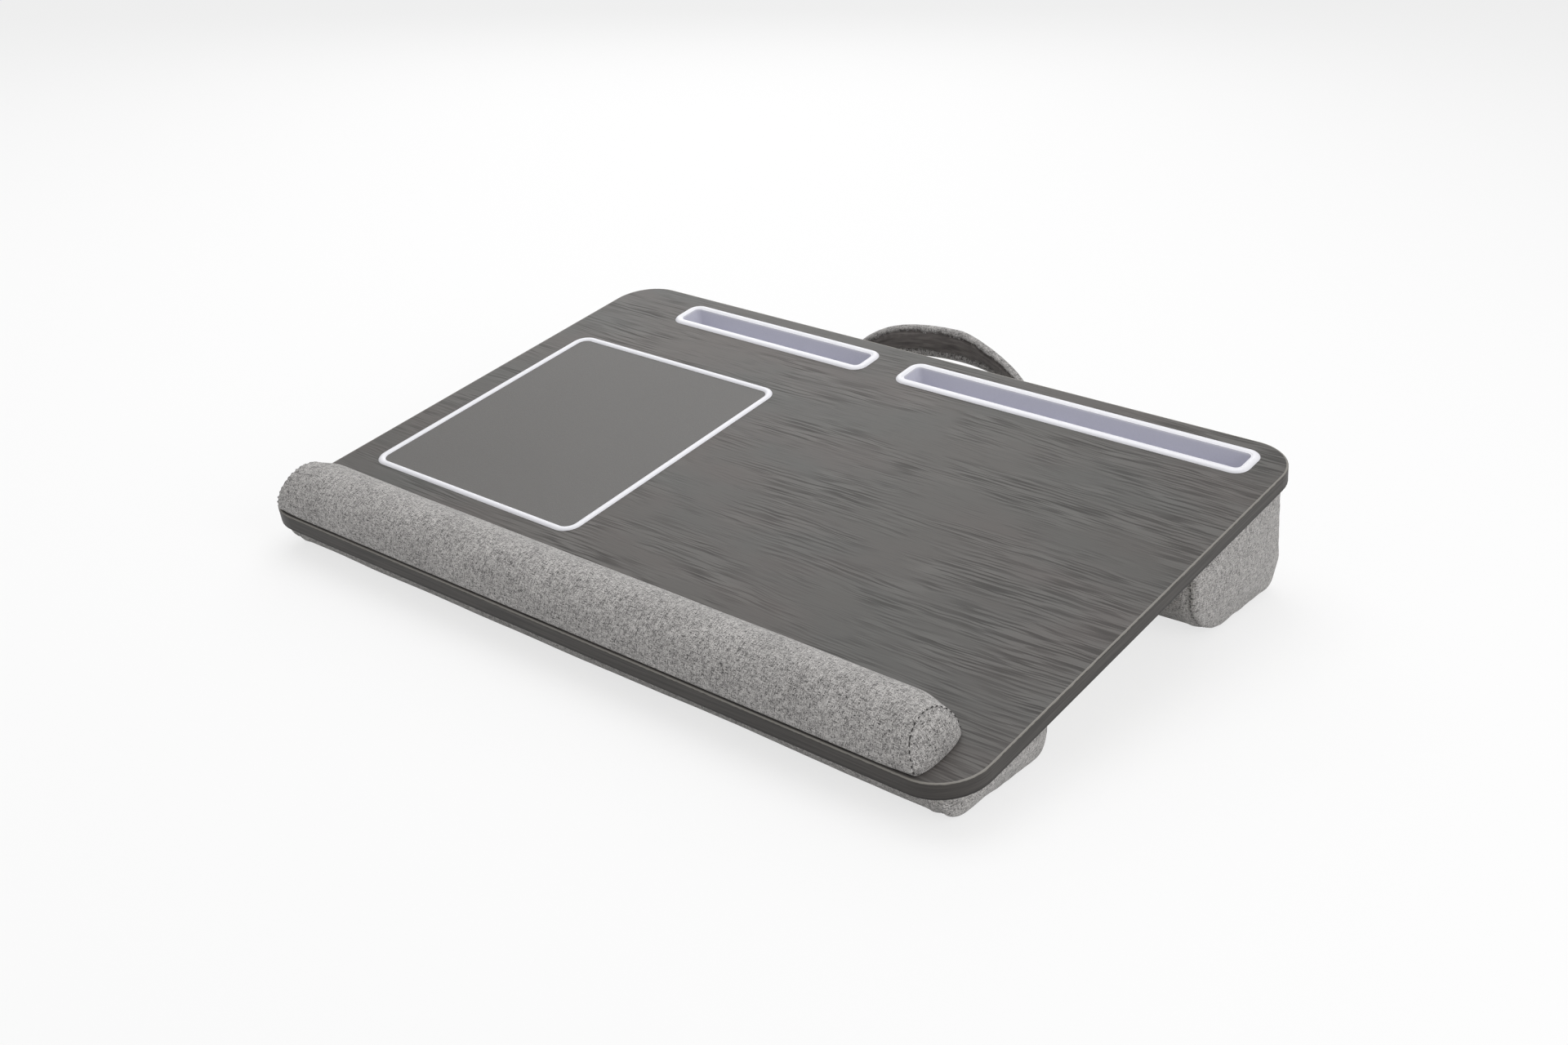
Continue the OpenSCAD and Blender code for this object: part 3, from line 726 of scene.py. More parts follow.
def cut_pockets(piece, boxes):
    """Cuts boxes, each a lowest and highest corner in the board's frame, out of a closed piece."""
    points = []
    faces = []
    for low, high in boxes:
        base = len(points)
        points.extend((x, y, z) for z in (low[2], high[2]) for y in (low[1], high[1])
                      for x in (low[0], high[0]))
        sides = ((0, 2, 3, 1), (4, 5, 7, 6), (0, 1, 5, 4), (2, 6, 7, 3), (0, 4, 6, 2), (1, 3, 7, 5))
        faces.extend([base + i for i in side] for side in sides)
    cutter = new_piece("pockets", np.array(points), faces, np.zeros((4 * len(faces), 2)))
    tool = piece.modifiers.new("Pockets", "BOOLEAN")
    tool.operation = "DIFFERENCE"
    tool.solver = "EXACT"
    tool.object = cutter
    keep(piece, tool)
    bpy.data.objects.remove(cutter)


def surface(piece):
    """The piece's skin, to find the nearest point on it."""
    mesh = piece.data
    return BVHTree.FromPolygons([v.co for v in mesh.vertices], [p.vertices for p in mesh.polygons])


def waves(points, size, seed):
    """Smooth noise at each point, from about -1 to 1, with that usual width."""
    shift = Vector((seed * 3.7, seed * 1.3, seed * 5.1))
    return np.array([noise.noise(Vector(p) / size + shift) for p in points])


def rounded_section(y0, y1, z0, z1, radii, step, closed_top):
    """A closed ring of (y, z) round a rectangle with round corners, at about equal steps.

    It starts at the top of the front side and runs down, rearwards, up and back along the
    top. radii are those of the top front, bottom front, bottom rear and top rear corner.
    closed_top is how many points the flat top has."""
    (a, b, c, d) = radii
    centres = [(y0 + a, z1 - a, a, 90), (y0 + b, z0 + b, b, 180),
               (y1 - c, z0 + c, c, 270), (y1 - d, z1 - d, d, 360)]
    line = []
    for y, z, r, start in centres:
        for t in np.radians(np.linspace(start, start + 90, 24)):
            line.append((y + r * math.cos(t), z + r * math.sin(t)))
    line = np.array(line)
    run = run_along(line)
    n = step if isinstance(step, int) else int(round(run[-1] / step)) + 1
    at = np.linspace(0, run[-1], n)
    ring = np.stack([np.interp(at, run, line[:, i]) for i in (0, 1)], 1)
    top = np.linspace(ring[-1], ring[0], closed_top + 2)[1:-1]
    return np.concatenate([ring, top]), np.concatenate([at, run[-1] + np.zeros(len(top))])


def seam_groove(piece, line_distance, depth, width):
    """Draws the cloth in along a seam: line_distance is each vertex's distance from it."""
    lip = 0.35 * bell(np.abs(line_distance) - 2.2 * width, width)
    push(piece, depth * (lip - bell(line_distance, width)))


def above_table(piece):
    """Lays what would reach below the table flat on it."""
    points = corners_of(piece.data)
    points[:, 2] = np.maximum(points[:, 2], 0.0)
    move_corners(piece.data, points)


def stitch_row(name, piece, path, props, width):
    """Sewing thread along a path in the board's frame, laid on a piece's skin.

    Each stitch is one low arched loop, half sunk in the cloth."""
    skin = surface(piece)
    path = on_board(path)
    run = run_along(path)
    pitch = props.stitch + props.stitch_gap
    sides = 6
    steps = 6
    vertices = []
    faces = []
    for start in np.arange(props.stitch_gap, run[-1] - pitch, pitch):
        at = start + props.stitch * np.linspace(0, 1, steps)
        spots = [[np.interp(s, run, path[:, i]) for i in range(3)] for s in at]
        near = [skin.find_nearest(Vector(spot)) for spot in spots]
        line, up = (np.array([found[i] for found in near]) for i in (0, 1))
        along = np.gradient(line, axis=0)
        along /= np.linalg.norm(along, axis=1, keepdims=True)
        arch = np.sin(np.linspace(0, math.pi, steps))
        base = len(vertices)
        for p, u, s, h in zip(line, up, np.cross(along, up), arch):
            r = width / 2 * (0.45 + 0.55 * h)
            middle = p + u * width * (0.4 * h - 0.3)
            for t in np.arange(sides) * 2 * math.pi / sides:
                vertices.append(middle + r * (u * math.sin(t) + s * math.cos(t)))
        for i in range(steps - 1):
            for j in range(sides):
                k = (j + 1) % sides
                faces.append([base + i * sides + j, base + i * sides + k,
                              base + (i + 1) * sides + k, base + (i + 1) * sides + j])
        faces.append([base + j for j in range(sides)][::-1])
        faces.append([base + (steps - 1) * sides + j for j in range(sides)])
    mesh = bpy.data.meshes.new(name)
    mesh.from_pydata([list(v) for v in vertices], [], faces)
    mesh.shade_smooth()
    mesh.materials.append(bpy.data.materials.get("desk_thread") or sewing_thread())
    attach(add_object(name, mesh), "desk")


# The cushions


def end_rows(radius, belly):
    """Rows of a cushion's end: X beyond the seam, inset of the outline, and the panel's share."""
    turn = np.radians(np.linspace(0, 90, 6))
    rows = [(radius * math.sin(t), radius * (1 - math.cos(t)), 1.0) for t in turn]
    for s in np.linspace(1, 0, 9)[1:-1]:
        rows.append((radius + belly * math.sqrt(1 - s * s), radius, s))
    return rows


def sunk_boxes(gap):
    """Boxes round the trays' tubs and the handle's tails, which sit in the rear cushion."""
    boxes = []
    below = board_box("lining_cloth")[0].z
    for node in ("phone_tray", "tablet_tray"):
        tub = board_points(frame["nodes"][node])
        tub = tub[tub[:, 2] < below + 1.5 * MM]
        boxes.append((tub.min(0) - gap, np.append(tub.max(0)[:2] + gap, 0)))
    staples = board_box("handle_staples")[0].z
    for side in ("left", "right"):
        low, high = board_box(f"handle_tail_{side}")
        boxes.append(((low.x - gap, low.y - gap, staples - gap), (high.x + gap, high.y, 0)))
    return boxes


def table_depth(y):
    """Depth of the table under the board's top, square to it, at y behind its front edge."""
    return (BOARD[2][3] + y * BOARD[2][1]) / BOARD[2][2]


def cushion(side, radii, props, rest):
    """One cushion's fabric cover, filled, sewn and laid on the table."""
    nodes = [f"{side}_cushion_{part}" for part in ("cover", "end_left", "end_right")]
    low, high = board_box(*nodes)
    y0, y1, z1 = low.y + props.tuck, high.y - props.tuck, high.z - 0.1 * MM
    if side == "front":
        y0 -= props.forward
    z0 = low.z + props.tuck
    reach = high.x + props.spread - props.tuck
    end_r = props.front_end_r if side == "front" else props.end_r
    seam_x = reach - end_r - props.belly
    rt = props.top_r
    flat_top = max(6, int((y1 - y0) / props.step / 2))
    ring, section = rounded_section(y0, y1, z0, z1, (rt, *radii, rt), props.step, flat_top)
    n = len(ring) - flat_top

    def settle(pts):
        """Makes the cover's lower side follow the table, which is not level with the board."""
        under = z1 + table_depth(pts[:, 0]) - 0.5 * MM
        return np.column_stack([pts[:, 0], z1 - (z1 - pts[:, 1]) * under / (z1 - z0)])

    def row(x, inset, part):
        """The cover's section at x: inset all round, and drawn towards its middle by part."""
        shrunk = [max(r - inset, 0.6 * MM) for r in (rt + inset, *radii, rt + inset)]
        front = y0 + inset + props.waist * (1 - (min(abs(x), seam_x) / seam_x) ** 2)
        pts, _ = rounded_section(front, y1 - inset, z0 + inset, z1, shrunk, n, flat_top)
        middle = np.array([(y0 + y1) / 2, z1])
        pts = middle + (settle(pts) - middle) * part
        return np.column_stack([np.full(len(pts), x), pts])

    ends = [row(seam_x + x, inset, s) for x, inset, s in end_rows(end_r, props.belly)]
    left = [r * (-1, 1, 1) for r in ends[::-1]]
    runs = int(round(2 * seam_x / props.step))
    along = np.linspace(-seam_x, seam_x, runs + 1)[1:-1]
    rings = np.array(left + [row(x, 0, 1) for x in along] + ends)
    piece = cover_mesh(f"{side}_cushion_fabric", rings, len(ends) - 1, section, rings[:, 0, 0])

    flat = board_points(piece)
    held = flat[:, 2] > z1 - 0.05 * MM
    fill(piece, held, props.pressure, props.swell)
    subdivide(piece)

    flat = board_points(piece)
    from_seam = np.abs(flat[:, 0]) - seam_x
    seam_groove(piece, from_seam, props.seam, 2.2 * MM)
    hang = z1 - flat[:, 2]
    near = bell(from_seam, 16 * MM) * np.clip(hang / (8 * MM), 0, 1)
    lift = props.pucker * near * waves(flat * (0.35, 1, 1), 9 * MM, 1)
    lift += 0.9 * MM * waves(flat, 60 * MM, 2) * smooth(hang / (15 * MM))
    lift += 0.5 * props.pucker * bell(hang, 14 * MM) * waves(flat * (1, 1, 0.3), 11 * MM, 3)
    lift[hang < 0.2 * MM] = 0
    push(piece, lift)

    flat = board_points(piece)
    flat[:, 2] = np.minimum(flat[:, 2], z1)
    beside, ahead, behind = 5 * MM, 7 * MM, 2 * MM
    flat[:, 0] = np.clip(flat[:, 0], low.x - beside, high.x + beside)
    flat[:, 1] = np.clip(flat[:, 1], low.y - ahead, high.y + behind)
    move_corners(piece.data, on_board(flat))
    above_table(piece)
    for end, sign in (("left", -1), ("right", 1)):
        path = np.column_stack([np.full(n, sign * (seam_x + 1.2 * MM)), settle(ring[:n])])
        stitch_row(f"{side}_cushion_stitches_{end}", piece, path[3:-3], rest, rest.thread * 0.8)
    if side == "rear":
        cut_pockets(piece, sunk_boxes(props.pocket))
    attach(piece, "desk")
    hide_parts(*nodes, f"{side}_cushion_filling")
    return piece


class LAPDESK_OT_cushions(bpy.types.Operator):
    """Make the two cushions: filled fabric covers with sewn end panels"""

    bl_idname = "lap_desk.cushions"
    bl_label = "Cushions"

    def execute(self, context):
        props = context.scene.lap_desk
        cloth = linen(props.fabric)
        c = props.cushions
        for side, radii in (("rear", (c.rear_rf, c.rear_rr)), ("front", (c.front_rf, c.front_rr))):
            piece = cushion(side, radii, c, props.wrist_rest)
            piece.data.materials.append(cloth)
        return {"FINISHED"}


# The wrist rest


def wrist_section(y0, y1, height, n, foot):
    """A ring of (y, z) round a D shape on the board: over the arc, then back under it."""
    half = (y1 - y0) / 2
    r = (half ** 2 + height ** 2) / (2 * height)
    a = math.asin((r - height) / r)
    turn = np.linspace(math.pi - a, a, n)
    arc = np.column_stack([(y0 + y1) / 2 + r * np.cos(turn), height - r + r * np.sin(turn)])
    under = np.linspace(arc[-1], arc[0], foot + 2)[1:-1]
    run = run_along(arc)
    return np.concatenate([arc, under]), np.append(run, run[-1] + np.zeros(foot))


class LAPDESK_OT_wrist_rest(bpy.types.Operator):
    """Make the wrist rest's padded cover with its two sewn end panels, and its backing strip"""

    bl_idname = "lap_desk.wrist_rest"
    bl_label = "Wrist rest"

    def execute(self, context):
        w = context.scene.lap_desk.wrist_rest
        c = context.scene.lap_desk.cushions
        nodes = ("wrist_rest_cover", "wrist_rest_end_left", "wrist_rest_end_right")
        low, high = board_box(*nodes)
        tall = high.z - 1.0 * MM
        over_the_arc = 72 * MM
        n = int(round(over_the_arc / (w.step * 0.75)))
        seats = (low.x + w.belly * 0.6, high.x - w.belly * 0.6)

        def lean(pts):
            return w.lean * smooth(pts[:, 1] / tall * 0.9)

        def ring_at(corner):
            """The section. corner is 0 along the run, and 1 at a seam, where the foot draws in."""
            return wrist_section(low.y + (0.6 * MM + 1.2 * MM * corner),
                                 high.y - 0.5 * MM - w.corner * corner,
                                 tall - 1.0 * MM * corner, n, 12)

        def panel(seat, sign):
            """An end panel's rings, from its seam to its middle, all standing on the board."""
            ring, _ = ring_at(1.0)
            middle = np.array([ring[:, 0].mean(), 0])
            rings = []
            for s in (1.0, 0.985, 0.95, 0.88, 0.78, 0.64, 0.46, 0.28, 0.12):
                pts = middle + (ring - middle) * s
                x = seat - sign * (lean(pts) - w.belly * (1 - s ** 3))
                rings.append(np.column_stack([x, pts]))
            return rings

        run = seats[1] - seats[0]
        rings = panel(seats[0], -1)[::-1]
        steps = np.linspace(0, 1, int(round(run / w.step)) + 1)[1:-1]
        snug = 0.9 * MM / run
        for t in (snug, *steps, 1 - snug):
            near = min(t, 1 - t) * run
            sign = 1 if t > 0.5 else -1
            ring, section = ring_at((1 - float(smooth(near / w.corner_run))) ** 1.5)
            fade = 1 - smooth(near / (32 * MM))
            x = seats[0] + run * t - sign * lean(ring) * fade
            rings.append(np.column_stack([x, ring]))
        rings = np.array(rings + panel(seats[1], 1))[::-1]
        piece = cover_mesh("wrist_rest_fabric", rings, 8, section, rings[:, n // 2, 0])
        flat = board_points(piece)
        fill(piece, flat[:, 2] < 0.3 * MM, c.pressure, w.swell)
        subdivide(piece)
        self.sew(piece, seats, tall, w)
        flat = board_points(piece)
        flat[:, 2] = np.maximum(flat[:, 2], 0.05 * MM)
        move_corners(piece.data, on_board(flat))
        ring, _ = ring_at(1.0)
        arc = ring[:n]
        for name, seat, sign in (("left", seats[0], -1), ("right", seats[1], 1)):
            x = seat - sign * lean(arc)
            stitch_row(f"wrist_rest_stitches_{name}", piece, np.column_stack([x, arc]), w, w.thread)
        piece.data.materials.append(linen(context.scene.lap_desk.fabric))
        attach(piece, "desk")
        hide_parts(*nodes, "wrist_rest_foam")
        self.backing()
        return {"FINISHED"}

    def sew(self, piece, seats, tall, w):
        """The end seams: a groove with puckers on both of its sides."""
        flat = board_points(piece)
        lean = w.lean * smooth(flat[:, 2] / tall * 0.9)
        from_seam = np.maximum(flat[:, 0] - (seats[1] - lean), seats[0] + lean - flat[:, 0])
        over = smooth(flat[:, 2] / (2 * MM))
        pull = 1.1 * MM * over * bell(from_seam, 1 * MM)
        near = bell(from_seam - 2 * MM, 7 * MM) * over
        middle = 25 * MM
        turn = np.arctan2(flat[:, 2], flat[:, 1] - middle)
        pucker = np.sin(turn * 38 + 1.7 * np.sin(turn * 11)) * near * 0.34 * MM
        broad = waves(flat * (0.5, 1, 1), 40 * MM, 5) * 0.5 * MM * smooth(flat[:, 2] / (6 * MM))
        push(piece, pucker + broad - pull)

    def backing(self):
        """The stiff strip inside, with its corners rounded to clear the cover."""
        low, high = board_box("wrist_rest_backing")
        r = 15 * MM
        turn = np.radians(np.linspace(0, 90, 10))
        loop = []
        for x, y, start in ((high.x - r, high.y - r, 0), (low.x + r, high.y - r, 90),
                            (low.x + r, low.y + r, 180), (high.x - r, low.y + r, 270)):
            loop.extend((x + r * math.cos(t + math.radians(start)),
                         y + r * math.sin(t + math.radians(start))) for t in turn)
        piece, _ = sheet_mesh("wrist_rest_backing_strip", [np.array(loop)], low.z, high.z, 8 * MM,
                              lambda flat, away: 0 * away)
        piece.data.materials.append(plain("desk_backing_strip", (0.40, 0.28, 0.17), 0.8))
        piece.data.set_sharp_from_angle(angle=math.radians(35))
        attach(piece, "desk")
        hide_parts("wrist_rest_backing")


# The handle


class LAPDESK_OT_handle(bpy.types.Operator):
    """Make the soft carry handle with its lengthwise seams, its hems and its tails"""

    bl_idname = "lap_desk.handle"
    bl_label = "Handle"

    def execute(self, context):
        props = context.scene.lap_desk
        # The handle's cloth is a darker copy of the cushions' linen, a painted shade.
        f, shade = props.fabric, props.handle.shade
        cloth = woven("desk_handle_linen", f, shaded(f.light, shade), shaded(f.dark, shade),
                      f.pitch, f.slub, 0.15)
        fold = OFF_BOARD @ Vector(frame["joints"][0]["pos_m"])
        self.band(props, cloth, fold)
        for side in ("left", "right"):
            low, high = board_box(f"handle_tail_{side}")
            self.hem(side, low, high, fold, cloth)
            self.tail(side, low, high, cloth)
        dress("handle_staples", plain("desk_staple_wire", (0.62, 0.62, 0.63), 0.3, Metallic=1.0))
        return {"FINISHED"}

    def band(self, props, cloth, fold):
        """The padded band: an arc in plan, highest in its middle."""
        h = props.handle
        radius = (h.half ** 2 + h.reach ** 2) / (2 * h.reach)
        opening = math.asin(h.half / radius)
        reach = h.reach
        hem = 2 * MM
        by_the_hem = 2.1 * MM
        count = 72
        rings = []
        marks = []
        for u in np.linspace(-1, 1, h.rings):
            a = u * opening
            dy = reach - radius * (1 - math.cos(a))
            thick = 4 * MM * (1 - 0.5 * u ** 4)
            inner = dy - thick
            room = hem + 0.8 * MM + 1.25 * max(inner, 0) * max(1, 1 + (inner - 8 * MM) / (6 * MM))
            top = max(min(room, hem + (h.rise - hem) * self.crest(u)), hem)
            bottom = -hem - min(max(dy - 7 * MM, 0) * 0.9, 3.6 * MM)
            ring, seams = self.profile(thick, bottom, top, count, h, u)
            x = (radius + ring[:, 0]) * math.sin(a)
            behind = reach - radius + (radius + ring[:, 0]) * math.cos(a)
            far = np.hypot(behind, ring[:, 1])
            snug = np.where(behind < 0, np.minimum(1, by_the_hem / far), 1)
            rings.append(np.column_stack([x, fold.y + behind * snug, fold.z + ring[:, 1] * snug]))
            marks.append(seams)
        rings = np.array(rings)
        section = np.linspace(0, 48 * MM, count)
        piece = cover_mesh("carry_handle_fabric", rings, 0, section,
                           np.linspace(-radius * opening, radius * opening, h.rings))
        piece.data.materials.append(cloth)
        piece.data.materials.append(self.inner_cloth(props))
        for i, (lower, upper) in enumerate(marks[:-1]):
            for j in range(lower, upper):
                piece.data.polygons[i * count + j].material_index = 1
        subdivide(piece)
        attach(piece, "handle")
        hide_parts("handle_cover", "handle_core")

    def crest(self, u):
        """Height of the upper edge along the band, from 0 to 1: the soft loop sags to one side."""
        if u < 0:
            return (1 - abs(u) ** 5) ** 1.45
        eased = (math.sqrt(u * u + 0.0144) - 0.12) / (math.sqrt(1.0144) - 0.12)
        return max(1 - eased ** 0.91, 0) ** 1.45

    def profile(self, thick, bottom, top, count, h, u):
        """One cross section, (out, up), and between which points its inner strip lies.

        A soft rounded band is drawn in at two wavy seams, which part a plain strip from the
        rolls above and below it."""
        middle, tall = (bottom + top) / 2, (top - bottom) / 2
        turn = np.linspace(0, 2 * math.pi, count, endpoint=False) + 1.5 * math.pi
        c, s = np.cos(turn), np.sin(turn)
        out = -thick * np.sign(c) * np.abs(c) ** 0.62
        up = middle + tall * np.sign(s) * np.abs(s) ** 0.8
        room = min(1, tall / (9 * MM))
        wander = noise.noise(Vector((u * 5.5, 1.7, 0))) * 1.3 * MM
        flutter = noise.noise(Vector((u * 19, 8.1, 0))) * 0.9 * MM
        upper = top - (h.upper_seam + wander + flutter) * room
        lower = bottom + (h.lower_seam + wander - flutter) * room
        front = out < 0
        for seam, depth in ((upper, 1.0), (lower, 0.9)):
            pull = h.seam * depth * room * bell(up - seam, 0.9 * MM)
            out = out + np.where(front, pull, -0.4 * pull)
        between = front & (up > lower) & (up < upper)
        part = np.clip((up - lower) / max(upper - lower, 1e-6), 0, 1)
        sunk = (0.7 - 0.5 * np.sin(math.pi * part)) * MM * room
        out = out + np.where(between, sunk, 0)
        crease = noise.noise(Vector((u * 42, 3.3, 0))) * h.pucker * room
        near = bell(up - upper, 2.6 * MM) + bell(up - lower, 2.6 * MM)
        out = out + np.where(front, -1, 0.5) * crease * near
        out = np.clip(out, -thick - 0.6 * MM, thick + 0.6 * MM)
        strip = np.flatnonzero(between)
        marks = (strip[0], strip[-1]) if len(strip) else (0, 0)
        return np.column_stack([out, up]), marks

    def inner_cloth(self, props):
        """The plain dark strip of the inner face: a fine close weave."""
        h = props.handle
        f = Finish("desk_handle_strip", Roughness=0.9, Specular_IOR_Level=0.2, Sheen_Weight=0.2)
        u, v = f.weave_place()
        warp, weft = (f.math("SINE", along / pitch * (2 * math.pi)) * 0.5 + 0.5
                      for along, pitch in ((u, 0.7 * MM), (v, 0.5 * MM)))
        height = warp * weft
        streak = f.noise(u * 60.0, v * 700.0)
        tone = f.between(f.spread(streak, 0.3, 0.7), shaded(h.inner, 0.7), shaded(h.inner, 1.5))
        # Painted shade in the low points of the weave, and a slight painted highlight on the high
        # points.
        tone = f.times(tone, f.spread(height, 0.0, 1.0, 0.8, 1.1))
        return f.done(tone, height, 0.1 * MM)

    def hem(self, side, low, high, fold, cloth):
        """The rolled hem on which the handle turns."""
        turn = np.linspace(0, 2 * math.pi, 20, endpoint=False)
        rings = []
        for x in np.linspace(low.x, high.x, 22):
            end = min(x - low.x, high.x - x)
            r = 2 * MM * (0.62 + 0.38 * math.sqrt(1 - (1 - min(end / (2 * MM), 1)) ** 2))
            r *= 1 - 0.03 * (1 + math.sin(x / (1.1 * MM)))
            y, z = fold.y + r * np.cos(turn), fold.z + r * np.sin(turn)
            rings.append(np.column_stack([np.full(len(turn), x), y, z]))
        rings = np.array(rings)
        piece = cover_mesh(f"handle_hem_{side}", rings, 0, turn * 2 * MM, rings[:, 0, 0])
        piece.data.materials.append(cloth)
        subdivide(piece)
        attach(piece, "handle")

    def tail(self, side, low, high, cloth):
        """A tail: the cloth folded flat, pressed in a little under its staple."""
        ring, _ = rounded_section(low.x, high.x, low.z + 0.05 * MM, high.z - 0.05 * MM,
                                  (1.0 * MM, 1.1 * MM, 1.1 * MM, 1.0 * MM), 44, 14)
        rings = []
        for y in np.linspace(low.y + 0.05 * MM, high.y - 0.05 * MM, 16):
            end = min(y - low.y, high.y - y) / (1.2 * MM)
            shrink = 1 - 0.12 * max(0, 1 - end) ** 2
            pts = ring.mean(0) + (ring - ring.mean(0)) * (1, shrink)
            rings.append(np.column_stack([pts[:, 0], np.full(len(pts), y), pts[:, 1]]))
        rings = np.array(rings)
        run = run_along(ring)
        piece = cover_mesh(f"handle_tail_fabric_{side}", rings, 0, run, rings[:, 0, 1])
        piece.data.materials.append(cloth)
        wire = board_points(frame["nodes"]["handle_staples"])
        wire = wire[(wire[:, 0] > low.x) & (wire[:, 0] < high.x)]
        legs = []
        for x in (wire[:, 0].min(), wire[:, 0].max() - 1 * MM):
            legs.append(((x - 0.1 * MM, wire[:, 1].min() - 0.1 * MM, low.z - 1 * MM),
                         (x + 1.1 * MM, wire[:, 1].max() + 0.1 * MM, high.z + 1 * MM)))
        cut_pockets(piece, legs)
        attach(piece, "desk")
        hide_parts(f"handle_tail_{side}")


# The lining


class LAPDESK_OT_lining(bpy.types.Operator):
    """Make the lining cloth that is stretched under the board"""

    bl_idname = "lap_desk.lining"
    bl_label = "Lining"

    def execute(self, context):
        props = context.scene.lap_desk
        low, high = board_box("lining_cloth")
        loops = outlines_of("lining_cloth", low.z)

        def lift(flat, away):
            """A folded hem along the outlines, and slight waves in what is stretched between."""
            hem = -0.10 * MM * smooth((9 * MM - away) / (2 * MM))
            spots = np.column_stack([flat, np.zeros(len(flat))])
            return hem + 0.06 * MM * waves(spots, 24 * MM, 8) * smooth(away / (12 * MM))

        piece, area = sheet_mesh("lining_sheet", loops, low.z + 0.15 * MM, high.z - 0.05 * MM,
                                 7 * MM, lift)
        f = props.fabric
        piece.data.materials.append(woven("desk_lining", f, f.lining, shaded(f.lining, 0.72),
                                          0.7 * MM, 3 * MM, 0.1))
        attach(piece, "desk")
        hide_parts("lining_cloth")
        return {"FINISHED"}


# The rigid pieces


class LAPDESK_OT_board(bpy.types.Operator):
    """Finish the board's laminates, its core and its edge band"""

    bl_idname = "lap_desk.board"
    bl_label = "Board"

    def execute(self, context):
        props = context.scene.lap_desk.board
        dress("top_laminate", laminate(props))
        dress("edge_band", edge_band(props))
        dress("board_core", plain("desk_fibreboard", (0.36, 0.25, 0.15), 0.85))
        dress("bottom_laminate", plain("desk_balancing_laminate", (0.50, 0.46, 0.38), 0.6))
        return {"FINISHED"}


class LAPDESK_OT_mouse_pad(bpy.types.Operator):
    """Finish the mouse pad, its rubber base and its white rim"""

    bl_idname = "lap_desk.mouse_pad"
    bl_label = "Mouse pad"

    def execute(self, context):
        props = context.scene.lap_desk.plastic
        dress("mouse_pad_face", pad_face(props))
        dress("mouse_pad_base", plain("desk_pad_rubber", (0.02, 0.02, 0.02), 0.8))
        dress("mouse_pad_rim", moulded("desk_rim_plastic", props.white, props.white))
        return {"FINISHED"}


class LAPDESK_OT_trays(bpy.types.Operator):
    """Finish the two white trays"""

    bl_idname = "lap_desk.trays"
    bl_label = "Trays"

    def execute(self, context):
        props = context.scene.lap_desk.plastic
        plastic = moulded("desk_tray_plastic", props.white, props.inside)
        for node in ("phone_tray", "tablet_tray"):
            dress(node, plastic)
        return {"FINISHED"}


# The stage


def area_light(name, place, target, size, power):
    lamp = bpy.data.lights.new(name, "AREA")
    lamp.shape = "RECTANGLE"
    lamp.size, lamp.size_y = size
    lamp.energy = power
    made = add_object(name, lamp)
    made.location = place
    made.rotation_euler = (Vector(target) - Vector(place)).to_track_quat("-Z", "Y").to_euler()


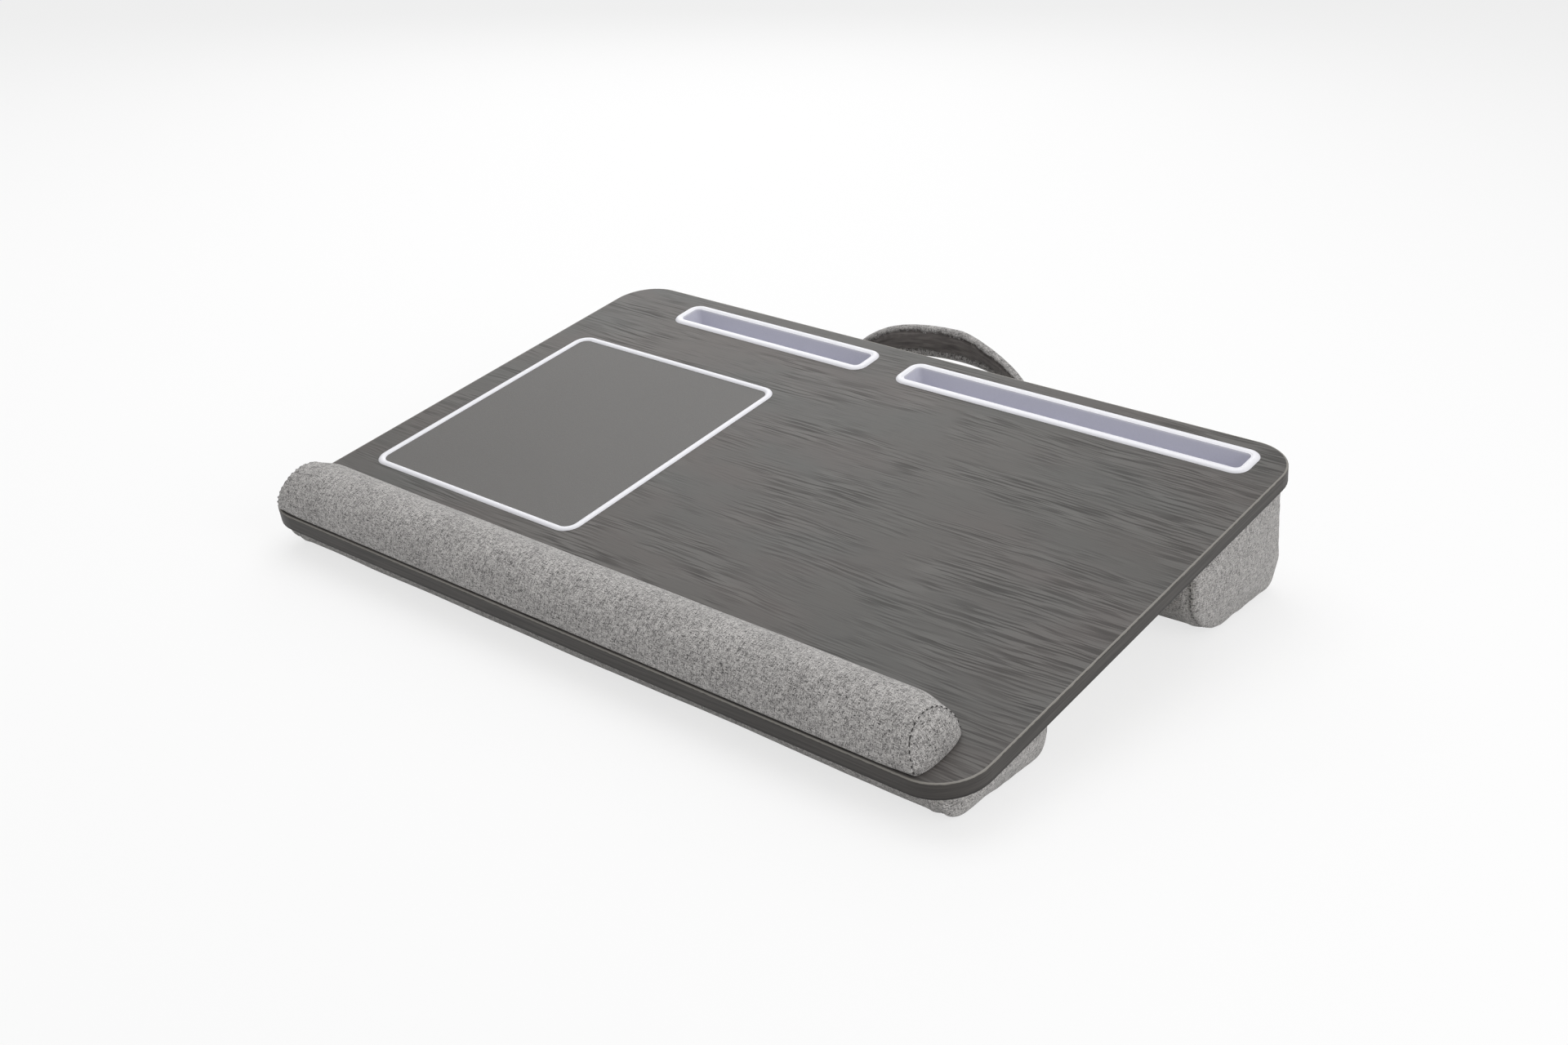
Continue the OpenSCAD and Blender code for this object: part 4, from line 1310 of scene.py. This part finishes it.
class LAPDESK_OT_stage(bpy.types.Operator):
    """Set the camera, the soft lamps, the white surround and the pale floor"""

    bl_idname = "lap_desk.stage"
    bl_label = "Stage"

    def execute(self, context):
        props = context.scene.lap_desk.stage
        scene = context.scene
        scene.view_settings.view_transform = "Standard"
        camera = bpy.data.cameras.new("photo_view")
        camera.lens = props.lens
        camera.sensor_width = 36
        camera.shift_x, camera.shift_y = props.shift
        camera.clip_start, camera.clip_end = 0.01, 50
        eye = add_object("photo_view", camera)
        eye.location = props.camera_place
        eye.rotation_euler = (math.pi / 2 - props.elevation, 0, props.azimuth)
        scene.camera = eye
        self.floor(props)
        self.surround(scene)
        area_light("overhead", (-0.35, 0.25, 1.7), (0, 0, 0), (1.6, 1.6), 17)
        area_light("camera_right", (1.65, -0.15, 0.8), (0, 0, 0.03), (1.1, 1.1), 9.5)
        area_light("rear_left", (-1.2, 1.3, 0.9), (0, 0, 0.05), (1.2, 0.8), 6)
        return {"FINISHED"}

    def floor(self, props):
        """A pale floor that the camera sees as almost white, with the object's soft shadow."""
        mesh = bpy.data.meshes.new("floor")
        far = 6.0
        corners = [(-far, -far, 0), (far, -far, 0), (far, far, 0), (-far, far, 0)]
        mesh.from_pydata(corners, [], [(0, 1, 2, 3)])
        piece = add_object("floor", mesh)
        f = Finish("pale_floor", Base_Color=(*props.floor, 1), Roughness=0.9,
                   Specular_IOR_Level=0.1)
        seen = f.node("LightPath", {}).outputs
        any_ray = f.math("MAXIMUM", seen["Is Camera Ray"], seen["Is Glossy Ray"])
        glow = f.node("Emission", {"Strength": 1.0}).outputs[0]
        mix = f.node("MixShader", {0: any_ray * 0.72, 1: f.shader.outputs[0], 2: glow})
        f.tree.links.new(mix.outputs[0], f.tree.nodes["Material Output"].inputs[0])
        mesh.materials.append(f.material)

    def surround(self, scene):
        """White where the camera sees it, and dimmer as a source of light."""
        scene.world = bpy.data.worlds.new("surround")
        scene.world.use_nodes = True
        tree = scene.world.node_tree
        seen = add_node(tree, "LightPath", {}).outputs
        shown = add_node(tree, "Math", {0: seen["Is Camera Ray"], 1: seen["Is Transmission Ray"]},
                         operation="MAXIMUM")
        level = add_node(tree, "MapRange", {0: shown.outputs[0], 3: 0.5, 4: 1.0})
        background = tree.nodes["Background"]
        background.inputs["Color"].default_value = (1, 1, 1, 1)
        tree.links.new(level.outputs[0], background.inputs["Strength"])


class LAPDESK_PT_panel(bpy.types.Panel):
    """Lists what makes the lap desk, and its values"""

    bl_idname = "LAPDESK_PT_panel"
    bl_label = "Lap Desk"
    bl_space_type = "VIEW_3D"
    bl_region_type = "UI"
    bl_category = "Lap Desk"

    def draw(self, context):
        for operator in OPERATORS:
            self.layout.operator(operator.bl_idname)
        for group in LapDesk.__annotations__:
            box = self.layout.box()
            box.label(text=group.replace("_", " ").capitalize())
            values = getattr(context.scene.lap_desk, group)
            for name in type(values).__annotations__:
                box.prop(values, name)


GROUPS = (LapDeskBoard, LapDeskPlastic, LapDeskFabric, LapDeskCushions, LapDeskWristRest,
          LapDeskHandle, LapDeskStage, LapDesk)
OPERATORS = (LAPDESK_OT_stage, LAPDESK_OT_board, LAPDESK_OT_mouse_pad, LAPDESK_OT_trays,
             LAPDESK_OT_lining, LAPDESK_OT_cushions, LAPDESK_OT_wrist_rest, LAPDESK_OT_handle)


def register():
    for c in (*GROUPS, *OPERATORS, LAPDESK_PT_panel):
        bpy.utils.register_class(c)
    bpy.types.Scene.lap_desk = PointerProperty(type=LapDesk)


def unregister():
    del bpy.types.Scene.lap_desk
    for c in reversed((*GROUPS, *OPERATORS, LAPDESK_PT_panel)):
        bpy.utils.unregister_class(c)


def main():
    register()
    for operator in OPERATORS:
        group, name = operator.bl_idname.split(".")
        getattr(getattr(bpy.ops, group), name)()


if __name__ == "__main__":
    main()
